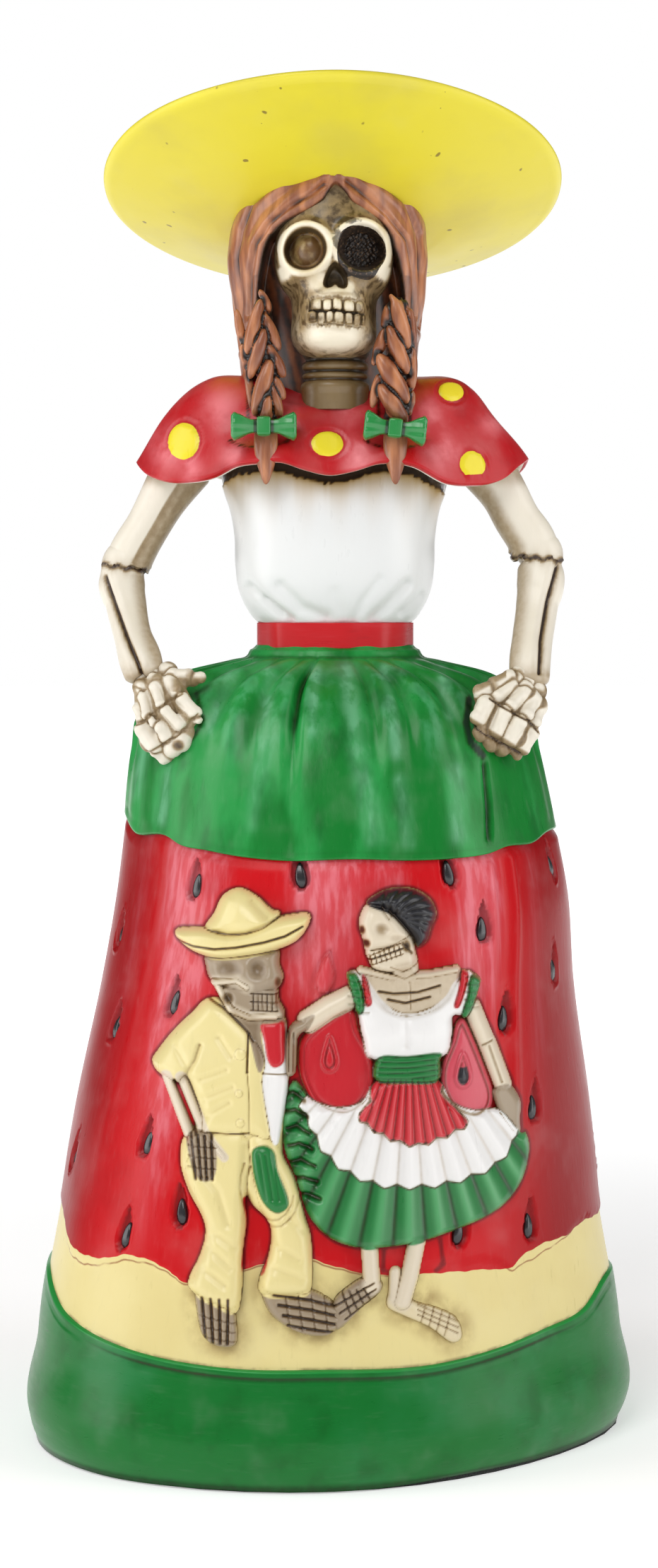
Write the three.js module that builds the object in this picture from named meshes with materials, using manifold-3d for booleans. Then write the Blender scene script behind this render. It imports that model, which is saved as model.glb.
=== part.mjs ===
// A painted cast-resin Day of the Dead figurine: a skeleton lady in a folk dress painted as a
// watermelon, with a wide hat, two braids, a ruffled shoulder collar and a pair of skeleton
// dancers carved in relief on the front of her skirt. It is one casting on a thin felt pad.
//
// Millimetres. +Z is up, the figure faces -Y, and the origin is the centre of the footprint
// on the table. Heights are above the table.

import * as THREE from "three";
import { mergeVertices } from "three/addons/utils/BufferGeometryUtils.js";
import Module from "manifold-3d";

const wasm = await Module();
wasm.setup();

// Driving sizes
const feltThickness = 1;
const feltInset = 0.6;
const baseHalfWidth = 63.5;
const baseHalfDepth = 58.5;
const baseDraw = 8;
const baseRound = 3.6;
const rindHeight = 25;
const rindStep = 0.9;
const overskirtHem = 125;
const overskirtStep = 0.6;
const frontDip = 4;
const hipHeight = 141;
const hipHalfWidth = 42.7;
const hipHalfDepth = 33;
const sway = 2.3;
const swaySpread = 26;
const foldDepth = 1.1;
const foldCount = 11;
const waveCount = 7;
const waistHeight = 162;
const waistHalfWidth = 16.4;
const waistHalfDepth = 13.2;
const beltHeight = 5.4;
const beltStep = 0.4;
const blouseHalfWidth = 21.1;
const blouseHalfDepth = 17.3;
const shoulderHeight = 220.3;
const necklineRadius = 8.6;
const collarDrop = 19.9;
const collarHalfWidth = 41.3;
const collarHalfDepth = 21.5;
const collarThickness = 1.8;
const scallopDepth = 1.5;
const scallopCount = 8;
const elbowHalfWidth = 44.3;
const upperArmRadius = 6.2;
const forearmBoneRadius = 3;
const handLength = 18.7;
const fingerRadius = 1.8;
const neckRadius = 7;
const headHeight = 26;
const headHalfWidth = 12.2;
const faceDepth = 15.4;
const socketRadius = 4.8;
const toothWidth = 1.9;
const hairHalfWidth = 20.9;
const hairHalfDepth = 17.6;
const braidRadius = 4.7;
const lockCount = 4;
const bowHalfWidth = 6.8;
const hatRadius = 48.5;
const hatTilt = THREE.MathUtils.degToRad(18.9);
const brimThickness = 2.4;
const brimRise = 7.6;
const crownRadius = 20.5;
const crownHeight = 24;
const reliefDepth = 4;
const pleatCount = 13;

// Landmarks that follow from them
const fieldHeight = overskirtHem - rindHeight;
const beltTop = waistHeight + beltHeight;
const waistRise = waistHeight - hipHeight;
const chinHeight = shoulderHeight + headHeight * 0.104;
const mouthHeight = chinHeight + headHeight * 0.308;
const eyeHeight = chinHeight + headHeight * 0.823;
const browHeight = chinHeight + headHeight;
const hatHeight = browHeight + headHeight * 0.427;
const faceX = headHalfWidth * 0.066;
const faceY = -headHalfWidth * 0.25;

// Small forms

// A solid from a geometry: positions only, merged, its faces turned to point outwards.
function solid(geometry) {
  const bare = geometry.clone();
  for (const name of Object.keys(bare.attributes)) {
    if (name !== "position") bare.deleteAttribute(name);
  }
  const merged = mergeVertices(bare, 1e-4);
  const place = merged.attributes.position;
  const corners = [];
  let volume = 0;
  const [a, b, c] = [new THREE.Vector3(), new THREE.Vector3(), new THREE.Vector3()];
  for (let i = 0; i < merged.index.count; i += 3) {
    const [p, q, r] = [0, 1, 2].map((n) => merged.index.getX(i + n));
    if (p === q || q === r || r === p) continue;
    corners.push([p, q, r]);
    a.fromBufferAttribute(place, p);
    b.fromBufferAttribute(place, q);
    c.fromBufferAttribute(place, r);
    volume += a.dot(b.cross(c));
  }
  const facing = volume < 0 ? corners.map(([p, q, r]) => [p, r, q]) : corners;
  return new wasm.Manifold(
    new wasm.Mesh({
      numProp: 3,
      vertProperties: place.array,
      triVerts: new Uint32Array(facing.flat()),
    }),
  );
}

function joined(solids) {
  return solids.reduce((whole, piece) => whole.add(piece));
}

// An egg-shaped lump at a point, with three half sizes and a turn about the line of sight.
function lump([x, y, z], [halfX, halfY, halfZ], roll = 0, round = 8, rings = 5) {
  const geometry = new THREE.SphereGeometry(1, round, rings);
  geometry.rotateX(Math.PI / 2);
  geometry.scale(halfX, halfY, halfZ);
  geometry.rotateY(roll);
  geometry.translate(x, y, z);
  return geometry;
}

// A tapered bone with blunt ends between two points.
function bone(from, to, startRadius, endRadius, sides = 5) {
  const start = new THREE.Vector3(...from);
  const along = new THREE.Vector3(...to).sub(start);
  const length = along.length();
  const profile = [
    [0, -startRadius * 0.6],
    [startRadius, 0],
    [endRadius, length],
    [0, length + endRadius * 0.6],
  ].map(([r, h]) => new THREE.Vector2(r, h));
  const geometry = new THREE.LatheGeometry(profile, sides);
  const turn = new THREE.Quaternion();
  turn.setFromUnitVectors(new THREE.Vector3(0, 1, 0), along.normalize());
  geometry.applyQuaternion(turn);
  geometry.translate(...from);
  return geometry;
}

// A closed form turned about the vertical. place(row, angle) gives a row's point at an angle
// from the front, and the first and last rows are closed flat.
function turned(rows, segments, place) {
  const last = rows.length - 1;
  const profile = rows.map((row, n) => new THREE.Vector2(1, n));
  profile.unshift(new THREE.Vector2(0, 0));
  profile.push(new THREE.Vector2(0, last));
  const geometry = new THREE.LatheGeometry(profile, segments);
  const position = geometry.attributes.position;
  const rim = [];
  const middle = rows.map((row) => {
    const sum = new THREE.Vector3();
    for (let n = 0; n < segments; n++) {
      sum.add(place(row, (2 * Math.PI * n) / segments));
    }
    return sum.divideScalar(segments);
  });
  for (let i = 0; i < position.count; i++) {
    const n = Math.round(position.getY(i));
    const onAxis = Math.hypot(position.getX(i), position.getZ(i)) < 0.5;
    const angle = Math.atan2(position.getX(i), position.getZ(i));
    const point = onAxis ? middle[n] : place(rows[n], angle);
    rim.push(point.x, point.y, point.z);
  }
  position.array.set(rim);
  return solid(geometry);
}

// The half width and half depth that belong to a height, read from a short list of stations.
function between(stations, height) {
  const last = stations.length - 1;
  const n = stations.findIndex((station, i) => i === last || height <= stations[i + 1][0]);
  const [low, high] = [stations[Math.min(n, last - 1)], stations[Math.min(n + 1, last)]];
  const share = THREE.MathUtils.clamp((height - low[0]) / (high[0] - low[0]), 0, 1);
  return [1, 2].map((k) => low[k] + (high[k] - low[k]) * share);
}

// Skirt

const skirtFoot = feltThickness;
const skirtStations = [
  [skirtFoot, baseHalfWidth - baseRound * 0.56, baseHalfDepth - baseRound * 0.44],
  [skirtFoot + baseRound, baseHalfWidth, baseHalfDepth],
  [rindHeight + fieldHeight * 0.26, baseHalfWidth * 0.897, baseHalfDepth * 0.865],
  [rindHeight + fieldHeight * 0.62, baseHalfWidth * 0.807, baseHalfDepth * 0.762],
  [overskirtHem, hipHalfWidth * 1.055, hipHalfDepth * 1.13],
  [hipHeight, hipHalfWidth, hipHalfDepth],
  [hipHeight + waistRise * 0.43, hipHalfWidth * 0.94, hipHalfDepth * 0.85],
  [hipHeight + waistRise * 0.74, hipHalfWidth * 0.76, hipHalfDepth * 0.66],
  [hipHeight + waistRise * 0.95, waistHalfWidth * 1.12, waistHalfDepth * 1.12],
  [waistHeight + beltHeight * 0.1, waistHalfWidth, waistHalfDepth],
];

// How far the skirt's cloth stands out at an angle: soft pleats below the waist that fade
// into a few broad waves towards the base.
function foldOut(angle, height) {
  const pleated = THREE.MathUtils.smoothstep(height, overskirtHem - fieldHeight / 4, hipHeight);
  const waist = waistHeight - waistRise * 0.3;
  const gathered = 1 - THREE.MathUtils.smoothstep(height, waist, waistHeight);
  const pleat = Math.cos(foldCount * angle) * pleated * gathered;
  const wave = Math.cos(waveCount * angle + 0.6) * (1 - pleated) * 0.5;
  const foot = THREE.MathUtils.smoothstep(height, rindHeight, rindHeight + fieldHeight * 0.3);
  return foldDepth * (pleat + wave * foot);
}

// The skirt swings out to one side below the hips, and the front of its base is drawn
// towards the other side.
function swing(height, y) {
  const low = 1 - THREE.MathUtils.smoothstep(height, rindHeight, overskirtHem);
  const draw = low * THREE.MathUtils.smoothstep(-y, 0, baseHalfDepth * 0.88);
  const above = (height - overskirtHem) / swaySpread + 0.5;
  return sway * Math.exp(-(above ** 2)) - baseDraw * draw;
}

function skirtPoint({ height, out = 0, dips = 0 }, angle) {
  const level = height - dips * Math.max(0, Math.cos(angle));
  const [halfWidth, halfDepth] = between(skirtStations, level);
  const reach = out + foldOut(angle, level);
  const y = -(halfDepth + reach) * Math.cos(angle);
  return new THREE.Vector3((halfWidth + reach) * Math.sin(angle) + swing(level, y), y, level);
}

function skirt() {
  const rows = [
    { height: skirtFoot },
    { height: skirtFoot + baseRound },
    { height: rindHeight - 0.6, out: rindStep * 0.4, dips: frontDip / 2 },
    { height: rindHeight, out: -rindStep * 0.6, dips: frontDip / 2 },
    { height: rindHeight + fieldHeight * 0.26 },
    { height: rindHeight + fieldHeight * 0.44 },
    { height: rindHeight + fieldHeight * 0.62 },
    { height: rindHeight + fieldHeight * 0.8 },
    { height: overskirtHem - 0.8, dips: frontDip },
    { height: overskirtHem, out: overskirtStep, dips: frontDip },
    { height: hipHeight },
    { height: hipHeight + waistRise * 0.43 },
    { height: hipHeight + waistRise * 0.74 },
    { height: hipHeight + waistRise * 0.95 },
    { height: waistHeight + beltHeight * 0.1 },
  ];
  return turned(rows, foldCount * 4, skirtPoint);
}

// The front of the skirt, where the relief stands: its Y at a place across and up.
function skirtFront(x, height) {
  const [halfWidth, halfDepth] = between(skirtStations, height);
  let y = -halfDepth;
  for (let pass = 0; pass < 4; pass++) {
    const across = (x - swing(height, y)) / halfWidth;
    y = -halfDepth * Math.sqrt(Math.max(0.02, 1 - across ** 2));
  }
  return y;
}

// Belt and blouse

function torso() {
  const chest = shoulderHeight - beltTop;
  const rows = [
    [waistHeight, waistHalfWidth + beltStep, waistHalfDepth + beltStep],
    [beltTop, waistHalfWidth + beltStep, waistHalfDepth + beltStep],
    [beltTop + 0.3, waistHalfWidth, waistHalfDepth],
    [beltTop + chest * 0.06, blouseHalfWidth * 0.89, blouseHalfDepth * 0.88],
    [beltTop + chest * 0.12, blouseHalfWidth * 0.96, blouseHalfDepth * 0.95],
    [beltTop + chest * 0.28, blouseHalfWidth, blouseHalfDepth],
    [beltTop + chest * 0.42, blouseHalfWidth * 1.04, blouseHalfDepth],
    [beltTop + chest * 0.53, blouseHalfWidth * 1.13, blouseHalfDepth * 0.94],
    [beltTop + chest * 0.81, blouseHalfWidth * 1.09, blouseHalfDepth * 0.71],
    [beltTop + chest * 0.91, blouseHalfWidth * 0.45, blouseHalfDepth * 0.5],
  ];
  return turned(rows, 18, ([height, halfWidth, halfDepth], angle) =>
    new THREE.Vector3(faceX + halfWidth * Math.sin(angle), -halfDepth * Math.cos(angle), height),
  );
}

// Ruffled shoulder collar

// The collar's skin passes these rings: reach is its share of the way from the neckline to
// the hem's half width and half depth, and the drops are below the shoulders.
const collarRings = [
  { reach: 0, sideDrop: collarDrop * 0.05, frontDrop: collarDrop * 0.33 },
  { reach: 0.53, sideDrop: 0, frontDrop: collarDrop * 0.5 },
  { reach: 0.69, sideDrop: collarDrop * 0.21, frontDrop: collarDrop * 0.63 },
  { reach: 0.84, sideDrop: collarDrop * 0.51, frontDrop: collarDrop * 0.78 },
  { reach: 1, sideDrop: collarDrop, frontDrop: collarDrop },
];

function collarPoint({ reach, sideDrop, frontDrop, inward = 0 }, angle) {
  const across = necklineRadius + (collarHalfWidth - necklineRadius) * reach - inward;
  const deep = necklineRadius + (collarHalfDepth - necklineRadius) * reach - inward;
  const drop = frontDrop + (sideDrop - frontDrop) * Math.sin(angle) ** 2;
  const scallop = scallopDepth * Math.cos(scallopCount * angle) * reach ** 6;
  return new THREE.Vector3(
    across * Math.sin(angle),
    -deep * Math.cos(angle),
    shoulderHeight - drop - scallop - inward * 0.6,
  );
}

function collar() {
  const hem = { ...collarRings.at(-1), inward: collarThickness };
  const lining = { ...collarRings[2], inward: collarThickness * 3 };
  return turned([...collarRings, hem, lining], 32, collarPoint);
}

// Arms and hands. side is -1 for the viewer's left and 1 for the right, where the hand is
// held a little farther out. The finger bones are placed from the wrist, in hand lengths, and x
// is outwards.

const rightReach = handLength * 0.134;
const bodyRise = shoulderHeight - waistHeight;
const shoulder = [elbowHalfWidth * 0.675, -hipHalfDepth * 0.03, shoulderHeight - collarDrop * 0.84];
const elbow = [elbowHalfWidth, -hipHalfDepth * 0.09, waistHeight + bodyRise * 0.257];
const wrist = [elbowHalfWidth * 0.89, -hipHalfDepth * 0.515, waistHeight - waistRise * 0.167];
const fingers = [
  [[0.08, -0.03, -0.16], [-0.01, -0.19, -0.64], [-0.3, -0.29, -1]],
  [[-0.04, -0.11, -0.11], [-0.13, -0.32, -0.55], [-0.44, -0.4, -0.94]],
  [[-0.17, -0.16, -0.03], [-0.3, -0.39, -0.42], [-0.57, -0.46, -0.72]],
  [[-0.27, -0.16, -0.02], [-0.45, -0.37, -0.24], [-0.66, -0.48, -0.54]],
  [[-0.29, -0.08, -0.09], [-0.68, -0.13, -0.13]],
];
const palm = [-0.25, -0.23, -0.49];

function arm(side) {
  const held = (from, offset = [0, 0, 0]) => {
    const [x, y, z] = offset.map((share, k) => from[k] + share * handLength);
    const lowered = 1 - THREE.MathUtils.smoothstep(z, wrist[2], elbow[2]);
    const out = side > 0 ? rightReach * lowered : 0;
    return [side * x + out, y, z];
  };
  const knuckle = fingerRadius * 2.6;
  const [thick, thin] = [forearmBoneRadius, forearmBoneRadius * 0.9];
  const pieces = [
    bone(held(shoulder), held(elbow), upperArmRadius, upperArmRadius * 0.76, 8),
    bone(held(elbow, [0.07, 0.02, -0.05]), held(wrist, [0.14, 0.08, 0]), thin, thin, 6),
    bone(held(elbow, [-0.1, -0.04, -0.03]), held(wrist, [-0.05, 0, 0.05]), thick, thin, 6),
    lump(held(wrist), [knuckle, knuckle * 0.77, knuckle * 0.73], 0, 6, 4),
    lump(held(wrist, palm), [knuckle * 1.2, knuckle * 0.73, knuckle * 1.62], side * 0.55, 6, 4),
  ];
  for (const joints of fingers) {
    for (let n = 0; n + 1 < joints.length; n++) {
      const [from, to] = [held(wrist, joints[n]), held(wrist, joints[n + 1])];
      pieces.push(bone(from, to, fingerRadius, fingerRadius * 0.94, 4));
    }
  }
  return joined(pieces.map(solid));
}

// Skull and neck

// Rows from the chin up: shares of the head's height, of its half width and of the face's
// depth.
function skull() {
  const middle = faceY - headHalfWidth * 0.33;
  const rows = [
    [0, 0.36, 0.78],
    [0.054, 0.56, 0.95],
    [0.177, 0.7, 1],
    [0.308, 0.66, 0.96],
    [0.446, 0.67, 1],
    [0.5, 0.8, 0.97],
    [0.615, 0.98, 0.95],
    [0.785, 1, 0.87],
    [0.985, 0.98, 0.91],
    [1.115, 0.97, 0.83],
    [1.31, 0.9, 0.75],
    [1.5, 0.66, 0.58],
  ];
  let face = turned(rows, 14, ([rise, width, depth], angle) => {
    const height = chinHeight + headHeight * rise;
    const across = Math.sign(Math.sin(angle)) * Math.abs(Math.sin(angle)) ** 0.85;
    const [x, y] = [headHalfWidth * width * across, -faceDepth * depth * Math.cos(angle)];
    return new THREE.Vector3(faceX + x, middle + y, height);
  });
  for (const side of [-1, 1]) {
    const socket = [faceX + side * headHalfWidth * 0.47, middle - faceDepth * 0.92, eyeHeight];
    const hollow = [socketRadius, socketRadius * 1.16, socketRadius];
    face = face.subtract(solid(lump(socket, hollow, 0, 10, 6)));
    const nose = mouthHeight + headHeight * 0.292;
    const nostril = [faceX + side * headHalfWidth * 0.11, middle - faceDepth * 1.04, nose];
    const slit = [socketRadius * 0.35, socketRadius * 0.7, socketRadius * 0.54];
    face = face.subtract(solid(lump(nostril, slit, side * 0.35, 5, 4)));
  }
  return face.add(teeth()).add(neck());
}

// Two rows of square teeth round the front of the jaws.
function teeth() {
  const pieces = [];
  const jaw = faceDepth * 0.49;
  for (const level of [mouthHeight - toothWidth * 0.79, mouthHeight + toothWidth * 0.89]) {
    for (let n = -2; n <= 2; n++) {
      const tooth = new THREE.BoxGeometry(toothWidth, toothWidth * 1.26, toothWidth * 1.36);
      tooth.translate(0, -jaw, 0);
      tooth.rotateZ((n * toothWidth * 1.2) / jaw);
      tooth.translate(faceX, faceY - toothWidth * 2 - jaw, level);
      pieces.push(solid(tooth));
    }
  }
  return joined(pieces);
}

// Rows from below the collar up: shares of the neck's radius above the shoulders, and of it.
function neck() {
  const rows = [
    [-1.29, 1.05],
    [-0.57, 1.03],
    [-0.49, 0.93],
    [-0.4, 1.03],
    [0.03, 1],
    [0.11, 0.9],
    [0.2, 1],
    [1.5, 1],
  ];
  return turned(rows, 10, ([rise, share], angle) => {
    const height = shoulderHeight + neckRadius * rise;
    const lean = neckRadius * rise * 0.25;
    const [x, y] = [Math.sin(angle), -Math.cos(angle)].map((n) => n * share * neckRadius);
    return new THREE.Vector3(faceX + x, faceY * 1.66 - lean + y, height);
  });
}

// Hair, braids and bows

const partingX = faceX / 2;

// Rows up the hair: how far up it hangs, and shares of its half width and half depth.
function hair() {
  const stations = [
    [0, 0.89, 0.68],
    [0.17, 0.93, 0.82],
    [0.38, 0.98, 0.95],
    [0.62, 1, 1],
    [0.83, 0.98, 0.98],
    [1, 0.88, 0.88],
  ];
  const foot = shoulderHeight - collarDrop * 0.2;
  const fall = hatHeight - brimRise * 0.26 - foot;
  const shell = turned(stations, 24, ([share, width, depth], angle) => {
    const height = foot + fall * share;
    const forward = hairHalfDepth * 0.125 + Math.max(0, height - browHeight) * 0.35;
    const x = partingX - faceX * 1.5 + hairHalfWidth * width * Math.sin(angle);
    return new THREE.Vector3(x, -hairHalfDepth * depth * Math.cos(angle) - forward, height);
  });
  return shell.subtract(parting());
}

// The opening in the hair that shows the face: a pointed arch with straight sides.
function parting() {
  const reach = headHalfWidth * 1.01;
  const [low, high] = [chinHeight - headHeight * 0.46, browHeight + headHeight * 0.146];
  const [side, shoulderOfArch] = [eyeHeight - headHeight * 0.1, high - headHeight * 0.12];
  const [peak, top] = [high + headHeight * 0.08, high + headHeight * 0.23];
  const [left, right] = [partingX - reach, partingX + reach];
  const arch = new THREE.Shape();
  arch.moveTo(left, low);
  arch.lineTo(left, side);
  arch.quadraticCurveTo(left, shoulderOfArch, partingX - reach / 2, high);
  arch.quadraticCurveTo(partingX - reach / 6, peak, partingX, top);
  arch.quadraticCurveTo(partingX + reach / 6, peak, partingX + reach / 2, high);
  arch.quadraticCurveTo(right, shoulderOfArch, right, side);
  arch.lineTo(right, low);
  const block = new THREE.ExtrudeGeometry(arch, {
    depth: hairHalfDepth * 1.4,
    bevelEnabled: false,
    curveSegments: 4,
  });
  block.rotateX(Math.PI / 2);
  block.translate(0, -hairHalfDepth * 0.45, 0);
  return solid(block);
}

// A braid whose locks swell in turn on its two sides, then pinch at the bow and end in a
// tuft. Its share runs from the top at 0 to the bow at 1.
function braidPoint(side, { share, width, plain = false }, angle) {
  const middle = headHalfWidth * 1.1;
  const top = [side * middle * 1.02, -hairHalfDepth * 0.94, chinHeight + headHeight / 2];
  const hang = shoulderHeight - collarDrop * 0.52;
  const tie = [side * middle * 0.99, -collarHalfDepth * 0.95, hang];
  const [x, y, z] = top.map((value, k) => value + (tie[k] - value) * share);
  const across = Math.sin(angle);
  const turn = share * lockCount + (across > 0 ? 0.5 : 0) - Math.abs(across) * 0.3;
  const swelling = plain || Math.abs(across) < 0.1 ? 0 : 0.22 * Math.cos(2 * Math.PI * turn);
  const radius = braidRadius * width * (1 + swelling);
  return new THREE.Vector3(x + radius * across, y - radius * 0.8 * Math.cos(angle), z);
}

function braid(side) {
  const rows = [{ share: -0.06, width: 0.43, plain: true }];
  for (let n = 0; n < lockCount * 4; n++) {
    const share = n / (lockCount * 4);
    rows.push({ share, width: 1 - 0.36 * share });
  }
  rows.push({ share: 1, width: 0.34, plain: true });
  rows.push({ share: 1.17, width: 0.57, plain: true });
  rows.push({ share: 1.28, width: 0.49, plain: true });
  rows.push({ share: 1.47, width: 0.11, plain: true });
  const plait = turned(rows.reverse(), 8, (row, angle) => braidPoint(side, row, angle));
  const { x, y, z } = braidPoint(side, { share: 1, width: 0 }, 0);
  return plait.add(bow([x, y - braidRadius * 0.34, z - braidRadius * 0.26]));
}

// A ribbon bow: two loops that widen away from a square knot.
function bow([x, y, z]) {
  const [loop, pinch, knot] = [0.46, 0.235, 0.28].map((share) => share * bowHalfWidth);
  const deep = loop * 1.3;
  const outline = new THREE.Shape([
    new THREE.Vector2(-bowHalfWidth, -loop),
    new THREE.Vector2(-knot, -pinch),
    new THREE.Vector2(knot, -pinch),
    new THREE.Vector2(bowHalfWidth, -loop),
    new THREE.Vector2(bowHalfWidth, loop),
    new THREE.Vector2(knot, pinch),
    new THREE.Vector2(-knot, pinch),
    new THREE.Vector2(-bowHalfWidth, loop),
  ]);
  const loops = new THREE.ExtrudeGeometry(outline, { depth: deep, bevelEnabled: false });
  loops.translate(0, 0, -deep / 2);
  loops.rotateX(Math.PI / 2);
  loops.translate(x, y, z);
  const tie = new THREE.BoxGeometry(knot * 2, deep * 1.4, knot * 2.3);
  tie.translate(x, y, z);
  return solid(loops).add(solid(tie));
}

// Hat

// Turned in its own frame, with the brim's rim at zero, then tipped back on the head.
function hat() {
  const seat = -brimRise - brimThickness * 0.58;
  const slope = -brimRise * 0.55;
  const profile = [
    [0, seat],
    [crownRadius, seat],
    [hatRadius * 0.74, slope],
    [hatRadius - brimThickness * 0.42, -brimThickness * 0.5],
    [hatRadius, 0],
    [hatRadius - brimThickness * 0.42, brimThickness * 0.5],
    [hatRadius * 0.74, brimThickness + slope],
    [crownRadius * 1.07, brimThickness - brimRise],
    [crownRadius * 0.97, brimThickness - brimRise + crownHeight * 0.08],
    [crownRadius * 0.93, crownHeight * 0.36 - brimRise],
    [crownRadius * 0.74, crownHeight * 0.76 - brimRise],
    [crownRadius * 0.42, crownHeight * 0.95 - brimRise],
    [0, crownHeight - brimRise],
  ].map(([r, h]) => new THREE.Vector2(r, h));
  const geometry = new THREE.LatheGeometry(profile, 36);
  geometry.rotateX(Math.PI / 2 - hatTilt);
  geometry.translate(faceX / 2, 0, hatHeight);
  return solid(geometry);
}

// Dancers in relief. They are drawn flat, in hundredths of the height of the red and cream
// field between the rind and the overskirt, across and up from the middle of the rind's top,
// and are then laid on the skirt's front.

function onSkirt(geometry) {
  const unit = fieldHeight / 100;
  const place = geometry.attributes.position;
  for (let i = 0; i < place.count; i++) {
    const [x, z] = [place.getX(i) * unit, rindHeight + place.getZ(i) * unit];
    place.setXYZ(i, x, place.getY(i) + skirtFront(x, z), z);
  }
  return solid(geometry);
}

function swell([x, z], [halfX, halfZ], proud, roll = 0, round = 6, rings = 4) {
  return onSkirt(lump([x, 0.3, z], [halfX, proud, halfZ], roll, round, rings));
}

function limb([x, z], [endX, endZ], radius, endRadius, sides = 4) {
  return onSkirt(bone([x, -1, z], [endX, -1, endZ], radius, endRadius, sides));
}

function dancingMan() {
  const deep = reliefDepth;
  const sombrero = [
    swell([-17.2, 81.6], [7.6, 8.2], deep),
    swell([-17.8, 78.4], [14.2, 3.3], deep + 1.4, -0.16, 10, 5),
  ];
  const head = [
    swell([-18, 72], [6.9, 5.6], deep),
    swell([-13, 66.4], [5.2, 4], deep, 0.5),
  ];
  const shirt = [
    swell([-19.8, 55.5], [9, 13.5], deep, -0.06, 8, 6),
    limb([-25, 62], [-31.3, 54.4], 4.2, 4.4),
  ];
  const arms = [
    limb([-29.8, 52.5], [-27.3, 42.5], 1.7, 1.5),
    swell([-25.8, 38.2], [2.8, 5.2], deep, -0.2),
  ];
  const trousers = [
    swell([-18.6, 38], [10.6, 8.4], deep),
    limb([-22.8, 35], [-22.4, 14.5], 6.2, 5.2, 6),
    limb([-14.6, 33], [-9.6, 19.5], 6.4, 5.2, 6),
  ];
  const feet = [
    swell([-23.4, 7.4], [3.6, 5.2], deep * 0.75, 0.15),
    swell([-8.2, 10.6], [6.2, 3.2], deep * 0.75, 0.35),
  ];
  const body = joined([...sombrero, ...head, ...shirt, ...arms, ...trousers, ...feet]);
  const sockets = [-21.4, -14.2].map((x) => onSkirt(lump([x, -deep, 72.6], [2.3, 1.4, 1.9])));
  return sockets.reduce((whole, socket) => whole.subtract(socket), body);
}

function dancingWoman() {
  const deep = reliefDepth;
  const head = [
    swell([16.8, 83.6], [6.4, 5.4], deep, -0.5),
    swell([18.6, 78], [4.2, 4.6], deep),
    swell([10.6, 80.4], [5, 5.8], deep, 0.6),
    swell([11.4, 75.6], [5, 3.4], deep, -0.4),
    limb([15.2, 77.5], [15.6, 70], 3.6, 3.6),
  ];
  const bodice = [
    swell([15.8, 68], [11, 4.4], deep * 0.8),
    swell([14.9, 62.2], [9, 6.8], deep + 0.6, 0, 8, 5),
    swell([15.3, 55], [7, 3.6], deep + 0.4),
    swell([26, 66], [3.4, 5.4], deep * 0.9, 0.3),
    swell([4.2, 66.6], [2.6, 5.2], deep * 0.9, -0.2),
  ];
  const arms = [
    limb([5, 69], [-7, 60.4], 2.4, 1.9),
    limb([-7.2, 60.2], [-8.4, 54.5], 1.9, 1.4),
    limb([27, 68.5], [31.8, 59.6], 2.2, 1.8),
    limb([31.8, 59.6], [36.4, 45.5], 2, 1.8),
    swell([37.4, 42], [2.2, 4], deep * 0.7, -0.3),
  ];
  const legs = [
    limb([8.2, 21], [7.4, 14.5], 2, 1.8),
    limb([16.4, 21], [14, 12.5], 2.2, 1.9),
    swell([3, 10.8], [5, 2.4], deep * 0.7, -0.5),
    swell([19, 8.4], [6, 2.6], deep * 0.7, 0.45),
  ];
  return joined([...head, ...bodice, ...arms, ...legs, danceSkirt()]);
}

// The woman's three-tiered skirt: rings of pleats that spread from her sash, cut off above
// by a hem that she holds out on both sides.
function danceSkirt() {
  const tiers = [
    { centre: [15.4, 53.4], half: [6, 1.6], proud: reliefDepth * 0.8 },
    { centre: [16, 51], half: [12.4, 11], proud: reliefDepth },
    { centre: [16, 50.6], half: [13.4, 11.2], proud: reliefDepth * 0.75 },
    { centre: [16.8, 45], half: [22, 13.6], proud: reliefDepth * 0.85 },
    { centre: [16.8, 44.6], half: [23, 14], proud: reliefDepth * 0.6 },
    { centre: [16, 41], half: [25, 21.8], proud: reliefDepth * 0.7 },
    { centre: [16, 41], half: [25, 21.8], proud: -1.5 },
  ];
  const unit = fieldHeight / 100;
  const place = ({ centre, half, proud }, angle) => {
    const across = centre[0] + half[0] * Math.sin(angle);
    const slope = across < centre[0] ? 0.14 : 0.62;
    const ceiling = 55 - slope * Math.max(0, Math.abs(across - centre[0]) - 6);
    const up = Math.min(centre[1] - half[1] * Math.cos(angle), ceiling);
    const [x, z] = [across * unit, rindHeight + up * unit];
    const pleat = proud > 0 ? reliefDepth * 0.1 * Math.cos(pleatCount * angle) : 0;
    return new THREE.Vector3(x, skirtFront(x, z) - proud - pleat, z);
  };
  return turned([...tiers].reverse(), pleatCount * 2, place);
}

// Felt pad under the base

function feltPad() {
  const rows = [{ level: 0 }, { level: feltThickness }];
  return turned(rows, foldCount * 4, ({ level }, angle) => {
    const point = skirtPoint({ height: skirtFoot, out: -feltInset }, angle);
    return point.setZ(level);
  });
}

// The casting, as one solid

function casting() {
  return joined([
    skirt(),
    torso(),
    collar(),
    arm(-1),
    arm(1),
    skull(),
    hair(),
    braid(-1),
    braid(1),
    hat(),
    dancingMan(),
    dancingWoman(),
  ]);
}

function surface(whole) {
  const mesh = whole.getMesh();
  const geometry = new THREE.BufferGeometry();
  geometry.setAttribute("position", new THREE.BufferAttribute(mesh.vertProperties, 3));
  geometry.setIndex(new THREE.BufferAttribute(mesh.triVerts, 1));
  geometry.computeVertexNormals();
  return geometry;
}

const figurine = new THREE.Mesh(
  surface(casting()),
  new THREE.MeshStandardMaterial({ color: 0xb3202c, roughness: 0.42, metalness: 0 }),
);
figurine.name = "figurine";

const pad = new THREE.Mesh(
  surface(feltPad()),
  new THREE.MeshStandardMaterial({ color: 0x20221f, roughness: 0.95, metalness: 0 }),
);
pad.name = "felt_pad";

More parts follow.
